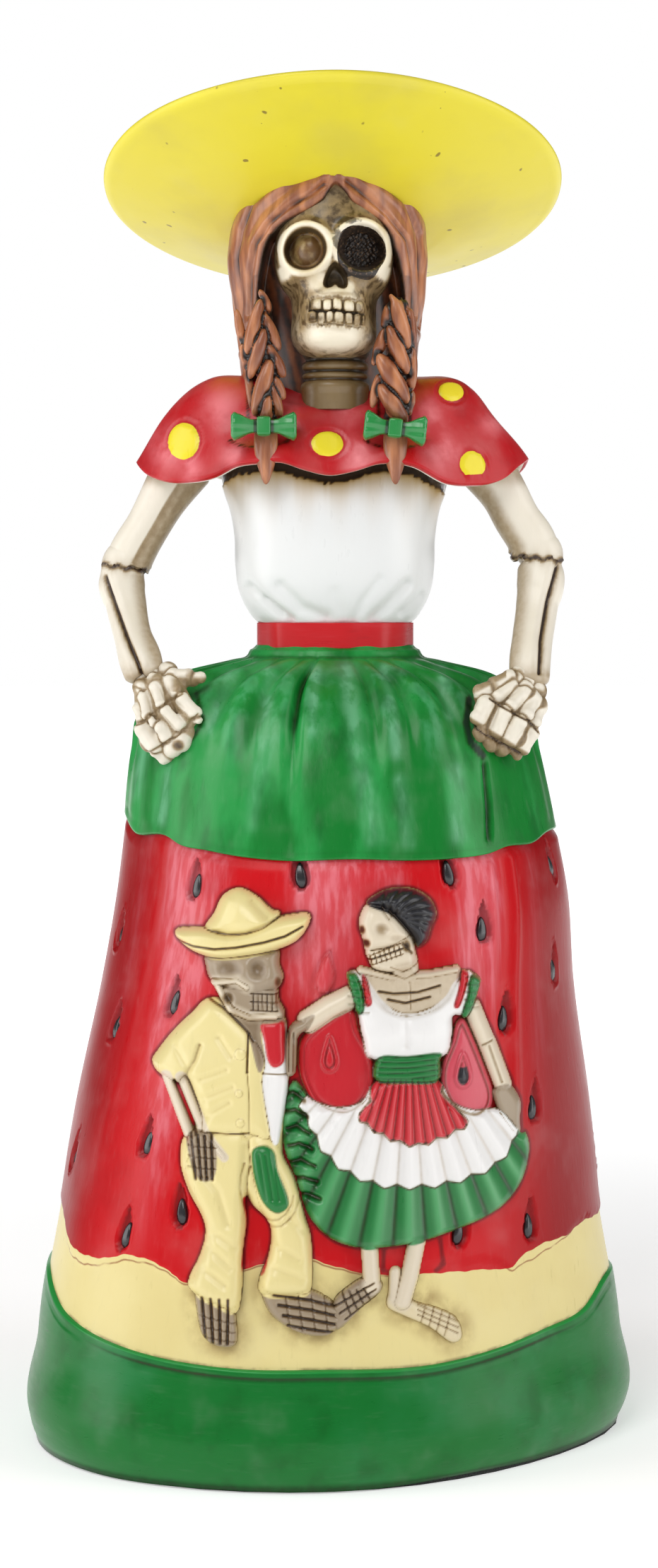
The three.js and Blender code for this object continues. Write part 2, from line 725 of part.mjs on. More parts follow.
const group = new THREE.Group();
group.add(figurine, pad);

export default group;
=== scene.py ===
import math

import bmesh
import bpy
import numpy as np
from mathutils import Matrix, Vector

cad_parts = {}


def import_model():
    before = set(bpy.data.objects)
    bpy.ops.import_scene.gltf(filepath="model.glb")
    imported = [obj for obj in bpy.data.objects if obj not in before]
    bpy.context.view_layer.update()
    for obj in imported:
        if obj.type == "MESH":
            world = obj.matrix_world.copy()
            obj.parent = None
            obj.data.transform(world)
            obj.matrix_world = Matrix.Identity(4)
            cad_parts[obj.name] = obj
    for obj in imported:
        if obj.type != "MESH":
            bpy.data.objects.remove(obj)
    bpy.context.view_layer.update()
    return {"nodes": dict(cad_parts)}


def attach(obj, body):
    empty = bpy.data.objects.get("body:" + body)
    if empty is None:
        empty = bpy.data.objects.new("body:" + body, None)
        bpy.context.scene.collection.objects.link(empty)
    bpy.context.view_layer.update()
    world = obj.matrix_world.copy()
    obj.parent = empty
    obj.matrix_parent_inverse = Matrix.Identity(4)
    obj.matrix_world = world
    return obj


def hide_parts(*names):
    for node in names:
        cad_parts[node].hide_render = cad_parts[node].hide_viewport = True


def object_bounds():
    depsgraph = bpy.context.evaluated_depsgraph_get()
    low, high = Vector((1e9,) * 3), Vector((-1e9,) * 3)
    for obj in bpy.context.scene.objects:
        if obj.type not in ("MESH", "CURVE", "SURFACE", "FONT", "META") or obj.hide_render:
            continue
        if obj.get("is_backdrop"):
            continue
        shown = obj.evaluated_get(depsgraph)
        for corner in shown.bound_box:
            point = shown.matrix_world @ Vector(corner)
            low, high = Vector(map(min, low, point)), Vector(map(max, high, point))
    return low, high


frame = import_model()

# The dancers
# A skeleton couple modelled in relief on the front of the dress and cast with it in resin: rounded
# clay forms up to about 4 mm proud, with incised folds and bones, bright flat paint, and a brown
# wash rubbed into the cuts and wiped off the high parts.

MM = 0.001

# The bell of the dress, which every piece below the waist lies on: height, half width, middle, half depth.
SKIRT_SIZES = (
    (1.0, 61.5, -0.6, 56.9), (4.6, 63.5, -0.5, 58.5), (20.8, 61.4, -0.2, 56.0), (44.8, 57.2, -0.1, 51.6),
    (68.8, 53.85, 0.45, 47.6), (92.8, 49.75, 1.35, 43.6), (110.8, 47.6, 2.3, 40.2),
    (125.0, 45.4, 1.85, 37.3), (141.0, 42.7, 1.0, 33.0), (150.0, 40.1, 0.9, 28.0),
    (156.5, 32.3, 0.85, 21.8), (161.0, 18.2, 0.85, 14.8), (163.0, 16.2, 0.85, 13.0),
)
FRONT_DRAW, BASE_DEPTH = 8.0, 58.5

# Each form's outline as seen from the front, across and up.
MAN = {
    "crown": ((-25.3, 106), (-23.4, 109.8), (-21.6, 113.3), (-18.3, 114.9), (-14.7, 113.4),
        (-11.8, 110.9), (-10.0, 110), (-12, 105.5), (-18, 104.2)),
    "brim": ((-31.4, 105.2), (-30.6, 106.4), (-26, 106.9), (-21, 106.4), (-16, 107.2), (-11.2, 109.2),
        (-8, 110), (-4.6, 110.3), (-4.1, 108.6), (-6.4, 105.1), (-10.8, 103), (-16.9, 101.5),
        (-22.5, 100.9), (-27.2, 101.9), (-30.4, 103.8)),
    "skull": ((-24.7, 102), (-24.9, 99), (-23.9, 96.6), (-21, 94.8), (-16, 93.5), (-10.9, 95.2),
        (-9.4, 97.8), (-10.2, 100.4), (-10.8, 103.5), (-17.5, 103.5)),
    "jaw": ((-22.6, 96), (-20.6, 91.9), (-18, 89.9), (-14, 89.1), (-10, 89.6), (-9, 91), (-10.2, 93.4),
        (-10.8, 95.8), (-16, 96.5)),
    "body": ((-24.1, 93.4), (-27.8, 90.2), (-31.6, 86.4), (-34.8, 82.2), (-35.8, 80.3), (-34.8, 78.4),
        (-32.2, 77), (-30, 76.5), (-28.6, 77.4), (-27.2, 74.6), (-25.8, 70.8), (-27.6, 68),
        (-29.4, 65.6), (-29.6, 61), (-27.8, 56), (-25.3, 51.8), (-24.5, 48.6), (-25.6, 44.4),
        (-27.9, 39.2), (-26, 36.8), (-22.4, 35.2), (-18.4, 33.9), (-17.3, 38), (-17, 46), (-16.4, 50.6),
        (-16.5, 55.8), (-15.4, 54.2), (-12, 50.8), (-11.9, 46), (-13.8, 40.8), (-13.7, 37.8),
        (-9.6, 37.1), (-4.6, 37.6), (-3.6, 40.4), (-3.8, 48), (-5, 52.4), (-7, 59.6), (-9.4, 64.4),
        (-8.8, 72), (-8.2, 79), (-8.7, 86), (-9.2, 90.4), (-14, 92), (-19, 92.6)),
    "shirt": ((-24.1, 93.2), (-27.8, 90), (-31.6, 86.2), (-34.8, 82.1), (-35.8, 80.3), (-34.8, 78.4),
        (-32.2, 77), (-30, 76.4), (-28.3, 77.9), (-26.4, 74), (-25.1, 69), (-24.6, 67.8), (-16, 68.1),
        (-12.1, 67.4), (-12.6, 72), (-13.5, 78), (-13, 82), (-15.4, 86.4), (-19.2, 89.9)),
    "vest": ((-13.4, 89.3), (-8.9, 89.2), (-8.4, 82), (-8.4, 76), (-9.6, 69.4), (-10.3, 66.2),
        (-11.5, 66.8), (-12.4, 71), (-13.5, 77.5), (-12.9, 82)),
    "tie": ((-13.8, 88.8), (-11.4, 89.3), (-9.1, 89.2), (-8.9, 85), (-9.2, 81.8), (-11.1, 80.8),
        (-12.4, 82.2), (-13.1, 86)),
    "hand": ((-28.3, 67), (-26.2, 68.3), (-24, 67.8), (-22.4, 65), (-22.5, 60.4), (-24.2, 58.8),
        (-26.4, 59.8), (-27.9, 63.6)),
    "left_foot": ((-26.2, 38), (-22.4, 37), (-19.2, 35.8), (-18.2, 31), (-18.6, 28), (-21.6, 27.6),
        (-24.6, 29), (-25.9, 33)),
    "right_foot": ((-13.2, 38.6), (-8, 39), (-3.8, 38.4), (0, 36.4), (2.3, 33.4), (0.2, 30.2),
        (-4, 29.9), (-8.4, 31.5), (-12, 34.4)),
    "kerchief": ((-15.2, 65.2), (-12.9, 66.1), (-11, 64.8), (-10.3, 61.4), (-8.4, 56.8), (-8.4, 54.5),
        (-10.6, 53.5), (-13, 55.2), (-14.6, 58.8), (-15.3, 62.4)),
    "throat": ((-20.6, 92.6), (-14, 91), (-10, 90.6), (-9, 88.8), (-13.6, 88.6), (-13, 82), (-14.2, 80),
        (-16.2, 86.6), (-19, 89.6)),
    "left_leg": ((-24.5, 67), (-16.2, 67), (-17.2, 50), (-17.4, 36), (-26.5, 38), (-24.4, 50), (-28.6, 60)),
    "right_leg": ((-15.8, 67), (-10.6, 66), (-6, 56), (-4, 46), (-4.2, 39), (-13.2, 39), (-11.4, 48),
        (-14.2, 56)),
    "crotch": ((-17.2, 55.4), (-16.3, 55.8), (-14.4, 53.2), (-11.8, 50.4), (-12, 45.8), (-13.4, 41.2),
        (-17.2, 42), (-16.8, 47.6), (-16.5, 51.6)),
}
WOMAN = {
    "hair": ((7.1, 112.1), (9, 114), (12.2, 115.1), (16.4, 114.9), (19.8, 112.8), (21.1, 109.8),
        (20, 107.2), (19.2, 104.7), (17.3, 103.4), (16.3, 105.2), (14.9, 106.9), (11.6, 110.2)),
    "face": ((5.5, 107.9), (6, 110.4), (7.4, 112.2), (10.6, 112), (14.4, 108.4), (15.8, 105.6),
        (12.6, 103.6), (9, 102.8), (7, 102.8), (6.2, 105.4)),
    "jaw": ((7, 103.4), (11, 104.2), (15.6, 106.2), (16.8, 102.6), (16.4, 99.4), (12.4, 98.6),
        (8.6, 99.3), (7.4, 101.2)),
    "chest": ((5.6, 99.8), (11.7, 98.9), (12.2, 101), (17, 101.6), (17.6, 98.9), (24.8, 99.4),
        (26.2, 97.4), (24.6, 93), (20.5, 90.2), (12, 90), (7.6, 93.4), (5.6, 97)),
    "blouse": ((3.6, 98.6), (6.4, 98.7), (7.8, 96.8), (9.8, 94), (12.6, 91.5), (15.9, 90.8),
        (19.9, 91.8), (22.9, 94), (24.4, 96.4), (27.4, 98.4), (29.2, 96), (27, 90), (24.3, 89.6),
        (24.1, 86.2), (21.8, 81.6), (8.5, 81.8), (6.3, 86.1), (5.4, 90.4)),
    "left_sleeve": ((3.2, 98.8), (4.9, 98.8), (6.1, 96.6), (6.7, 93.4), (6.4, 91.3), (5.1, 90.9),
        (4.3, 94), (3.4, 96.8)),
    "left_strap": ((6.1, 98.4), (7.1, 97.8), (7.8, 95.2), (8.1, 93), (7.1, 92.4), (6.4, 94)),
    "right_sleeve": ((28.4, 97.8), (30, 96.5), (29.5, 94), (28.3, 91), (26.9, 89.2), (25.9, 90),
        (27.1, 93.8), (27.4, 96.4)),
    "right_strap": ((26, 98.5), (27.5, 97.8), (26.9, 94.9), (25.6, 91.6), (24.4, 91.8), (25.3, 95)),
    "left_hand": ((-5.8, 89.9), (-3.2, 90.8), (-4.4, 88), (-6.5, 86), (-6.9, 79.6), (-8.9, 79.2),
        (-9.1, 84), (-8, 88.4)),
    "right_hand": ((32.4, 74.6), (35.6, 75.4), (38.2, 72), (38.2, 68), (38.2, 65.4), (37, 64.9),
        (34.6, 68), (33, 71.4)),
    "left_pocket": ((1.6, 92.2), (4.6, 92), (5.5, 88), (7.6, 84.2), (8.8, 80.4), (8.3, 75.8), (5.6, 72),
        (1.2, 71.2), (-3, 73.2), (-5.6, 77.6), (-6.4, 82.4), (-5.2, 87)),
    "right_pocket": ((26.5, 89.2), (28.4, 85.6), (31, 79), (32.6, 74), (31.6, 70.4), (28.2, 69.2),
        (24.2, 71.2), (21.8, 75.6), (21.8, 80), (23.8, 84.8), (24.8, 88)),
    "sash": ((8.6, 81.4), (10.3, 83), (15, 82.7), (21.5, 83), (21.7, 81), (21.1, 77.3), (14.6, 77.4),
        (8.8, 78)),
    "skirt": ((-7.2, 78), (-5.6, 76.8), (-3.8, 74.6), (1.2, 73), (6, 74), (9, 77.9), (15, 78.4),
        (21.1, 77.6), (24, 73), (28.6, 71), (33.6, 70.6), (38, 65.6), (39.4, 65), (40.1, 61.4),
        (38.6, 56), (35, 51.8), (30, 49.4), (24.3, 47.9), (19, 46.6), (14, 46), (8.5, 45.8), (3.6, 46.4),
        (-1, 48.6), (-4.6, 52.8), (-6.8, 59.2), (-9, 64.6), (-9.5, 70), (-8.6, 75.6)),
    "white_hem": ((-5, 74.8), (-3.9, 69.6), (-1.4, 64.9), (2.6, 61.2), (8.6, 58.4), (14, 57.5),
        (20, 57.3), (26.4, 58), (32.2, 59.7), (35.4, 62.4), (37.2, 66.4), (33, 72), (21.1, 78.5),
        (8.8, 78.5)),
    "red_hem": ((9, 79), (8, 74.2), (5.6, 71.4), (9.4, 68.2), (13.6, 66.2), (17.2, 65.5), (21.4, 66.4),
        (24.8, 67.6), (27.2, 69.2), (24.2, 72), (22, 75.4), (21.2, 79)),
    "neck": ((12.2, 96.6), (11.8, 100), (13, 103), (16.4, 103), (17.4, 99.6), (17.2, 96.6)),
    "left_foot": ((0.2, 33.4), (0.8, 36.6), (3.4, 38.8), (6.6, 40.4), (9.8, 39.4), (9.4, 37.2),
        (5.6, 34.4), (1.4, 30.8)),
    "right_foot": ((11, 34.6), (11.6, 37.4), (14.4, 38), (15.9, 35.4), (20.6, 33.6), (24.6, 31.2),
        (25.8, 27.6), (23.6, 26.7), (19.4, 30), (14.4, 32.6)),
}
HER_LEFT_ARM = ((6, 95), (-0.4, 92), (-4.4, 89.4))
HER_RIGHT_ARM = ((28.2, 91), (31.2, 84), (34.6, 75))
FAN_POINT, PLEATS, FINE_PLEATS = (15.4, 92.0), 44, 76
DROP = ((0, 4.2), (1.5, 0), (1.2, -2), (0, -2.7), (-1.2, -2), (-1.5, 0))


def smooth_through(stations, at):
    """Values at places on a smooth curve through stations of (place, value, value ...)."""
    table = np.array(stations, float)
    slopes = np.gradient(table[:, 1:], table[:, 0], axis=0)
    at = np.clip(np.asarray(at, float), table[0, 0], table[-1, 0])
    n = np.clip(np.searchsorted(table[:, 0], at, side="right") - 1, 0, len(table) - 2)
    span = (table[n + 1, 0] - table[n, 0])[..., None]
    t = (at - table[n, 0])[..., None] / span
    low, high = table[n, 1:], table[n + 1, 1:]
    rise = (2 * t**3 - 3 * t**2 + 1) * low + (3 * t**2 - 2 * t**3) * high
    bend = (t**3 - 2 * t**2 + t) * slopes[n] + (t**3 - t**2) * slopes[n + 1]
    return np.moveaxis(rise + bend * span, -1, 0)


def step(value, low, high):
    """0 below low and 1 above high, smooth between."""
    t = np.clip((value - low) / (high - low), 0, 1)
    return t * t * (3 - 2 * t)


def bell(distance, width, power=2):
    """1 where a distance is 0, falling to 0 past a width."""
    return np.exp(-(np.abs(distance / width) ** power))


def rows(x, y, z):
    """Points as rows of x, y, z."""
    return np.stack(np.broadcast_arrays(x, y, z), axis=-1)


def drawn(y, height):
    """How far the foot of the skirt's front is drawn to the left."""
    return FRONT_DRAW * (1 - step(height, 25, 125)) * step(-y, 0, BASE_DEPTH * 0.88)


def skirt_spot(angle, height, out=0.0):
    """The skirt's surface at an angle from the front (to the viewer's right) and a height."""
    width, middle, depth = smooth_through(SKIRT_SIZES, height)
    y = -(depth + out) * np.cos(angle)
    return rows(middle + (width + out) * np.sin(angle) - drawn(y, height), y, height)


def skirt_front(x, height):
    """The skirt's Y at places seen from the front."""
    width, middle, depth = smooth_through(SKIRT_SIZES, height)
    y = -depth
    for _ in range(5):
        across = np.clip((x - middle + drawn(y, height)) / width, -0.99, 0.99)
        y = -depth * np.sqrt(1 - across**2)
    return y


def rounded(loop, steps=4):
    """The points of a smooth closed curve through an outline's points."""
    points = np.array(loop, float)
    before, after, beyond = (np.roll(points, -n, axis=0) for n in (-1, 1, 2))
    curve = [
        0.5 * (2 * points + (after - before) * t + (2 * before - 5 * points + 4 * after - beyond) * t**2
               + (3 * points - before - 3 * after + beyond) * t**3)
        for t in np.arange(steps) / steps
    ]
    return np.stack(curve, axis=1).reshape(-1, 2)


def from_line(points, x, z):
    """How far each place is from a drawn line."""
    near = np.full(x.shape, 1e6)
    for (ax, az), (bx, bz) in zip(points, points[1:]):
        dx, dz = bx - ax, bz - az
        t = np.clip(((x - ax) * dx + (z - az) * dz) / max(dx * dx + dz * dz, 1e-9), 0, 1)
        near = np.minimum(near, (x - ax - t * dx) ** 2 + (z - az - t * dz) ** 2)
    return np.sqrt(near)


def inward(loop, x, z):
    """How far each place lies inside a closed outline, and below 0 outside it."""
    curve = rounded(loop)
    inside = np.zeros(x.shape, bool)
    for (ax, az), (bx, bz) in zip(curve, np.roll(curve, -1, axis=0)):
        if az != bz:
            inside ^= ((az > z) != (bz > z)) & (x < ax + (z - az) * (bx - ax) / (bz - az))
    near = from_line([*curve, curve[0]], x, z)
    return np.where(inside, near, -near)


def pigment(*colour):
    """A paint's colour, mixed as 0 to 255, in linear light."""
    return np.array([((v / 255 + 0.055) / 1.055) ** 2.4 if v > 10 else v / 3294 for v in colour])


CREAM = pigment(232, 216, 152)
BONE = pigment(222, 208, 184)
AGED_BONE = pigment(158, 140, 116)
CHALK = pigment(238, 236, 234)
RED = pigment(196, 22, 36)
PINK = pigment(206, 72, 88)
GREEN = pigment(18, 116, 50)
BLACK = pigment(30, 30, 36)
UMBER = pigment(60, 42, 26)
THIN_WASH = (0.43, 0.33, 0.2)


def rows_of(items, what, width=3, kind=float):
    """What a mesh keeps for each of its items, as rows of numbers."""
    values = np.empty(len(items) * width, kind)
    items.foreach_get(what, values)
    return values.reshape(-1, width)


def points_of(mesh):
    return rows_of(mesh.vertices, "co")


def links_of(mesh):
    return rows_of(mesh.edges, "vertices", 2, np.int32)


def move_points(mesh, spots):
    mesh.vertices.foreach_set("co", np.ascontiguousarray(spots, dtype=np.float32).ravel())
    mesh.update()


def mesh_of(bm, name):
    """A finished shape as a mesh."""
    mesh = bpy.data.meshes.new(name)
    bm.to_mesh(mesh)
    bm.free()
    return mesh


def record(mesh, paint=None, **layers):
    """Keeps the wash and painted shade and other layers, each point's own or one for all, and the paint if it
    is given.
    """
    if paint is not None:
        colours = np.ones((len(mesh.vertices), 4), np.float32)
        colours[:, :3] = paint
        mesh.attributes.new("paint", "FLOAT_COLOR", "POINT").data.foreach_set("color", colours.ravel())
    for name, values in layers.items():
        numbers = np.full(len(mesh.vertices), values, np.float32)
        mesh.attributes.new(name, "FLOAT", "POINT").data.foreach_set("value", numbers)


def placed(name, data):
    """A new object in the scene."""
    item = bpy.data.objects.new(name, data)
    bpy.context.collection.objects.link(item)
    return item


def settle(mesh, material):
    """Shows a finished mesh, made in mm, as a piece of the casting."""
    move_points(mesh, points_of(mesh) * MM)
    mesh.polygons.foreach_set("use_smooth", np.ones(len(mesh.polygons), bool))
    mesh.materials.append(material)
    piece = placed(mesh.name, mesh)
    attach(piece, "root")
    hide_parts("figurine")


def relaxed(spots, links, passes, share=0.5):
    """Points moved towards the mean of their neighbours."""
    count = len(spots)
    a, b = links.T
    busy = np.bincount(a, minlength=count) + np.bincount(b, minlength=count)
    busy = np.maximum(busy, 1)[:, None]
    for _ in range(passes):
        pull = np.empty_like(spots)
        for k in range(spots.shape[1]):
            pull[:, k] = np.bincount(a, spots[b, k], count) + np.bincount(b, spots[a, k], count)
        spots = spots + share * (pull / busy - spots)
    return spots


class Relief:
    """Clay laid on the skirt's front: a height, a paint and a wash for each place across and up."""

    def __init__(self, name, outlines, low, high, cell=0.25):
        across, up = (round((b - a) / cell) for a, b in zip(low, high))
        bm = bmesh.new()
        bmesh.ops.create_grid(bm, x_segments=across, y_segments=up, size=0.5)
        self.mesh = mesh_of(bm, name)
        self.outlines = outlines
        share = points_of(self.mesh)[:, :2] + 0.5
        self.x, self.z = (np.array(low) + share * (np.array(high) - low)).T
        self.height = np.full(len(share), -1.2)
        self.paint = np.tile(CREAM, (len(share), 1))
        self.stain = np.zeros(len(share))

    def inside(self, form):
        """How far each place lies inside a named form or an outline."""
        return inward(self.outlines[form] if isinstance(form, str) else form, self.x, self.z)

    def wash(self, amount):
        self.stain = np.maximum(self.stain, amount)

    def colour(self, deep, paint, soft=0.12):
        """Paints where a depth inside an outline is above 0."""
        cover = np.clip(deep / soft * 0.5 + 0.5, 0, 1)[:, None]
        self.paint = self.paint * (1 - cover) + paint * cover

    def raise_to(self, form, lift, edge, paint=None):
        """Brings the clay up to a height inside a form, with a rounded edge."""
        deep = self.inside(form)
        dome = lift * np.sqrt(1 - (1 - np.clip(deep / edge, 0, 1)) ** 2)
        self.height = np.maximum(self.height, np.where(deep > 0, dome, 3 * deep))
        if paint is not None:
            self.colour(deep, paint)
        return deep

    def swell(self, form, lift, edge, paint=None):
        """Adds a rounded swelling inside a form to what is there."""
        deep = self.inside(form)
        self.height += lift * np.sqrt(1 - (1 - np.clip(deep / edge, 0, 1)) ** 2)
        if paint is not None:
            self.colour(deep, paint)

    def rod(self, line, radius, lift, paint=BONE, soft=0.12):
        """Lays a bone along a line."""
        far = from_line(line, self.x, self.z)
        round_top = lift * np.sqrt(np.clip(1 - (far / radius) ** 2, 0, 1))
        self.height = np.maximum(self.height, np.where(far < radius, round_top, 3 * (radius - far)))
        self.colour(radius - far, paint, soft)

    def groove(self, line, width, depth, stain):
        """Cuts a line, and leaves wash in it."""
        cut = bell(from_line(line, self.x, self.z), width)
        self.height -= depth * cut
        self.wash(stain * cut)

    def rake(self, count, line, width, depth, stain):
        """Cuts a line several times. Its points are x, z and how far each moves between two cuts."""
        for n in range(count):
            self.groove([(x + n * dx, z + n * dz) for x, z, dx, dz in line], width, depth, stain)

    def dent(self, x, z, across, up, depth, stain):
        """Presses an oval hollow."""
        cut = bell(((self.x - x) / across) ** 2 + ((self.z - z) / up) ** 2, 1, 1.5)
        self.height -= depth * cut
        self.wash(stain * cut)

    def cast(self, material):
        """Lays the clay on the skirt, lets the wash run, and trims and closes the piece behind."""
        move_points(self.mesh, rows(self.x, skirt_front(self.x, self.z) - self.height, self.z))
        raised = np.clip(self.height, -0.4, None)[:, None]
        for passes, share in ((4, 3.2), (28, 0.75)):
            hollow = (relaxed(raised, links_of(self.mesh), passes) - raised)[:, 0]
            self.wash(np.clip(hollow * share, 0, 0.85))
        self.wash(0.5 * bell(np.clip(self.height, 0, None), 0.4))
        record(self.mesh, self.paint, stain=self.stain)
        bm = bmesh.new()
        bm.from_mesh(self.mesh)
        far = [face for face in bm.faces if all(self.height[v.index] < -0.9 for v in face.verts)]
        bmesh.ops.delete(bm, geom=far, context="FACES")
        skirting = bmesh.ops.extrude_edge_only(bm, edges=[edge for edge in bm.edges if edge.is_boundary])
        back = [item for item in skirting["geom"] if isinstance(item, bmesh.types.BMVert)]
        bmesh.ops.translate(bm, verts=back, vec=(0, 2.0, 0))
        bmesh.ops.holes_fill(bm, edges=[edge for edge in bm.edges if edge.is_boundary], sides=0)
        bmesh.ops.recalc_face_normals(bm, faces=bm.faces)
        bm.to_mesh(self.mesh)
        bm.free()
        settle(self.mesh, material)


class Shade:
    """A value in a material: arithmetic on it adds Math nodes."""

    def __init__(self, finish, socket):
        self.finish = finish
        self.socket = socket

    def math(self, operation, first, second):
        return self.finish.node("ShaderNodeMath", {"operation": operation}, {0: first, 1: second})

    def __add__(self, other):
        return self.math("ADD", self, other)

    __radd__ = __add__

    def __sub__(self, other):
        return self.math("SUBTRACT", self, other)

    def __rsub__(self, other):
        return self.math("SUBTRACT", other, self)

    def __mul__(self, other):
        return self.math("MULTIPLY", self, other)

    __rmul__ = __mul__

    def between(self, low, high):
        """0 at low and 1 at high."""
        settings = {"interpolation_type": "SMOOTHSTEP"}
        return self.finish.node("ShaderNodeMapRange", settings, {"Value": self, 1: low, 2: high})


class Finish:
    """A material under construction."""

    def __init__(self, name):
        self.material = bpy.data.materials.new(name)
        self.material.use_nodes = True
        self.tree = self.material.node_tree
        self.shader = self.tree.nodes["Principled BSDF"]
        self.place = self.node("ShaderNodeTexCoord", {}, {}, "Object")

    def node(self, kind, settings, sockets, out=0):
        """Adds a node: its settings first, then values or links for its sockets."""
        node = self.tree.nodes.new(kind)
        for name, value in settings.items():
            setattr(node, name, value)
        for key, value in sockets.items():
            self.feed(node.inputs[key], value)
        return Shade(self, node.outputs[out])

    def feed(self, socket, value):
        if isinstance(value, Shade):
            self.tree.links.new(value.socket, socket)
        elif socket.type == "RGBA":
            socket.default_value = (*value, 1)
        else:
            socket.default_value = value

    def layer(self, name, out="Fac"):
        """A number or colour that the piece keeps for each of its points."""
        return self.node("ShaderNodeAttribute", {"attribute_name": name}, {}, out)

    def mix(self, base, over, share, blend="MIX"):
        settings = {"data_type": "RGBA", "blend_type": blend}
        return self.node("ShaderNodeMix", settings, {0: share, 6: base, 7: over}, 2)

    def coats(self, colour, *coats):
        """A colour with others brushed over it in turn, each with its share."""
        for over, share in coats:
            colour = self.mix(colour, over, share)
        return colour

    def noise(self, scale, detail=2.0, place=None):
        sockets = {"Vector": place or self.place, "Scale": scale, "Detail": detail}
        return self.node("ShaderNodeTexNoise", {}, sockets)

    def strokes(self, scale, size=1.0, detail=4.0):
        """Noise that is stretched along the brush strokes by its scale on each axis."""
        place = self.node("ShaderNodeMapping", {}, {"Vector": self.place, "Scale": scale})
        return self.noise(size, detail, place)

    def bump(self, height, strength, distance):
        sockets = {"Strength": strength, "Distance": distance, "Height": height}
        self.feed(self.shader.inputs["Normal"], self.node("ShaderNodeBump", {}, sockets))

    def surface(self, **inputs):
        """Feeds the shader's inputs, whose names are given with low bars."""
        for name, value in inputs.items():
            self.feed(self.shader.inputs[name.replace("_", " ")], value)


def hand_painted(name, gloss=0.3, coat=0.22, streaks=(900, 900, 160), mottle=0.1, wash=UMBER,
                 tint=(0.8, 0.8, 0.78), paint=None, shine=0.42):
    """Brushed acrylic under a thin varnish, over cast resin, with a brown wash in its hollows.

    The piece keeps how much wash and painted shade lies on it, and the paint's colour unless one is given."""
    finish = Finish(name)
    colour = paint(finish) if paint else finish.layer("paint", "Color")
    broad = finish.noise(90, 3.0)
    stroke = finish.strokes(streaks)
    pale = (broad.between(0.5, 0.8) + stroke.between(0.55, 0.9) * 0.6) * mottle
    deep = (1 - stroke.between(0.15, 0.45)) * mottle * 0.5
    colour = finish.coats(colour, (tint, pale * 0.5), ((0.0, 0.0, 0.0), deep))
    patchy = finish.layer("stain") * (0.75 + 0.5 * finish.noise(700, 3.0))
    washed = finish.mix(colour, THIN_WASH, 1.0, "MULTIPLY")
    colour = finish.coats(colour, (washed, patchy.between(0.02, 0.62)), (wash, patchy.between(0.45, 0.95)))
    finish.surface(Base_Color=colour, Roughness=gloss - 0.12 + 0.16 * stroke + 0.1 * broad,
                   Specular_IOR_Level=shine, Coat_Weight=coat, Coat_Roughness=0.22)
    finish.bump(finish.strokes(streaks, 1.6, 2.0), 0.25, 0.0001)
    return finish.material


man = Relief("dancing_man", MAN, (-37, 25), (7, 117))
man.raise_to("left_foot", 2.2, 1.6, AGED_BONE)
man.raise_to("right_foot", 2.2, 1.6, AGED_BONE)
man.rake(4, ((-25, 37, 1.7, 0), (-24.2, 28.4, 1.4, 0)), 0.3, 0.8, 1.1)
man.rake(3, ((-25.4, 33.4, 0, -1.9), (-18.6, 32.2, 0, -1.7)), 0.2, 0.35, 0.55)
man.rake(4, ((-11, 37.8, 0.9, -1.9), (-4, 36.8, 0, -1.8), (1.8, 35.2, -0.5, -1.5)), 0.3, 0.8, 1.1)
man.rake(4, ((-8.8, 37.6, 2.5, 0), (-7.8, 31, 2.4, 0)), 0.2, 0.35, 0.55)
man.raise_to("body", 3.1, 2.6, CREAM)
man.colour(man.inside("crotch"), RED)
man.swell("left_leg", 0.9, 3.2)
man.swell("right_leg", 0.9, 3.2)
for crease in (((-26.5, 62), (-22, 57), (-20, 51)), ((-22.6, 49), (-18.6, 46.6)),
               ((-23.6, 46.4), (-19.4, 42.8)), ((-24.8, 42.4), (-20.6, 39.6)), ((-16.8, 66), (-17, 57)),
               ((-10.6, 47), (-6.2, 44.6)), ((-11.2, 43), (-5.6, 41)), ((-8.2, 52.4), (-5.4, 50))):
    man.groove(crease, 0.8, 0.45, 0.1)
for wide, high in ((4.7, 6.6), (6.0, 7.9)):
    knee = [(-11.7 + wide * math.cos(a), 58.4 + high * math.sin(a)) for a in np.linspace(2.6, 6.0, 12)]
    man.groove(knee, 0.28, 0.35, 0.3)
man.swell("kerchief", 0.8, 1.6, GREEN)
man.rake(3, ((-14, 64.4, 1.3, 0), (-12.6, 56, 1.3, 0)), 0.3, 0.25, 0.15)
man.swell("vest", 0.3, 0.8, CHALK)
man.swell("shirt", 1.2, 3.0, CREAM)
for cut in ((((-24.9, 68), (-20.3, 67.9), (-16, 68.2)), 0.16, 0.5, 0.8),
            (((-24.2, 93.3), (-21.4, 91.8), (-18.6, 89.5), (-16.3, 87.3), (-15.2, 85.6)), 0.22, 0.6, 0.9),
            (((-16.2, 87), (-16.4, 79.8)), 0.22, 0.7, 1.0),
            (((-16.3, 79.8), (-15.9, 74), (-15.9, 68.2)), 0.2, 0.35, 0.3),
            (((-29.4, 77), (-28.2, 79.2), (-26.8, 81.6), (-25.9, 84.4)), 0.5, 0.7, 0.25)):
    man.groove(*cut)
for crease in (((-25.6, 78), (-20.6, 80)), ((-25, 74.4), (-19.4, 76.8)), ((-24.6, 71), (-20, 73.8)),
               ((-31, 84), (-28.4, 80)), ((-22, 86), (-19.6, 82.6))):
    man.groove(crease, 0.7, 0.4, 0.08)
for button_x, button_z, reach in ((-17.8, 83.2, 1.1), (-18, 75.8, 0.75), (-17.7, 70.2, 0.85)):
    far = np.hypot(man.x - button_x, man.z - button_z)
    man.height += 0.35 * (far < reach) * np.sqrt(np.clip(1 - (far / reach) ** 2, 0, 1))
    man.wash(0.3 * bell(far - reach, 0.15))
man.colour(man.inside("throat"), AGED_BONE)
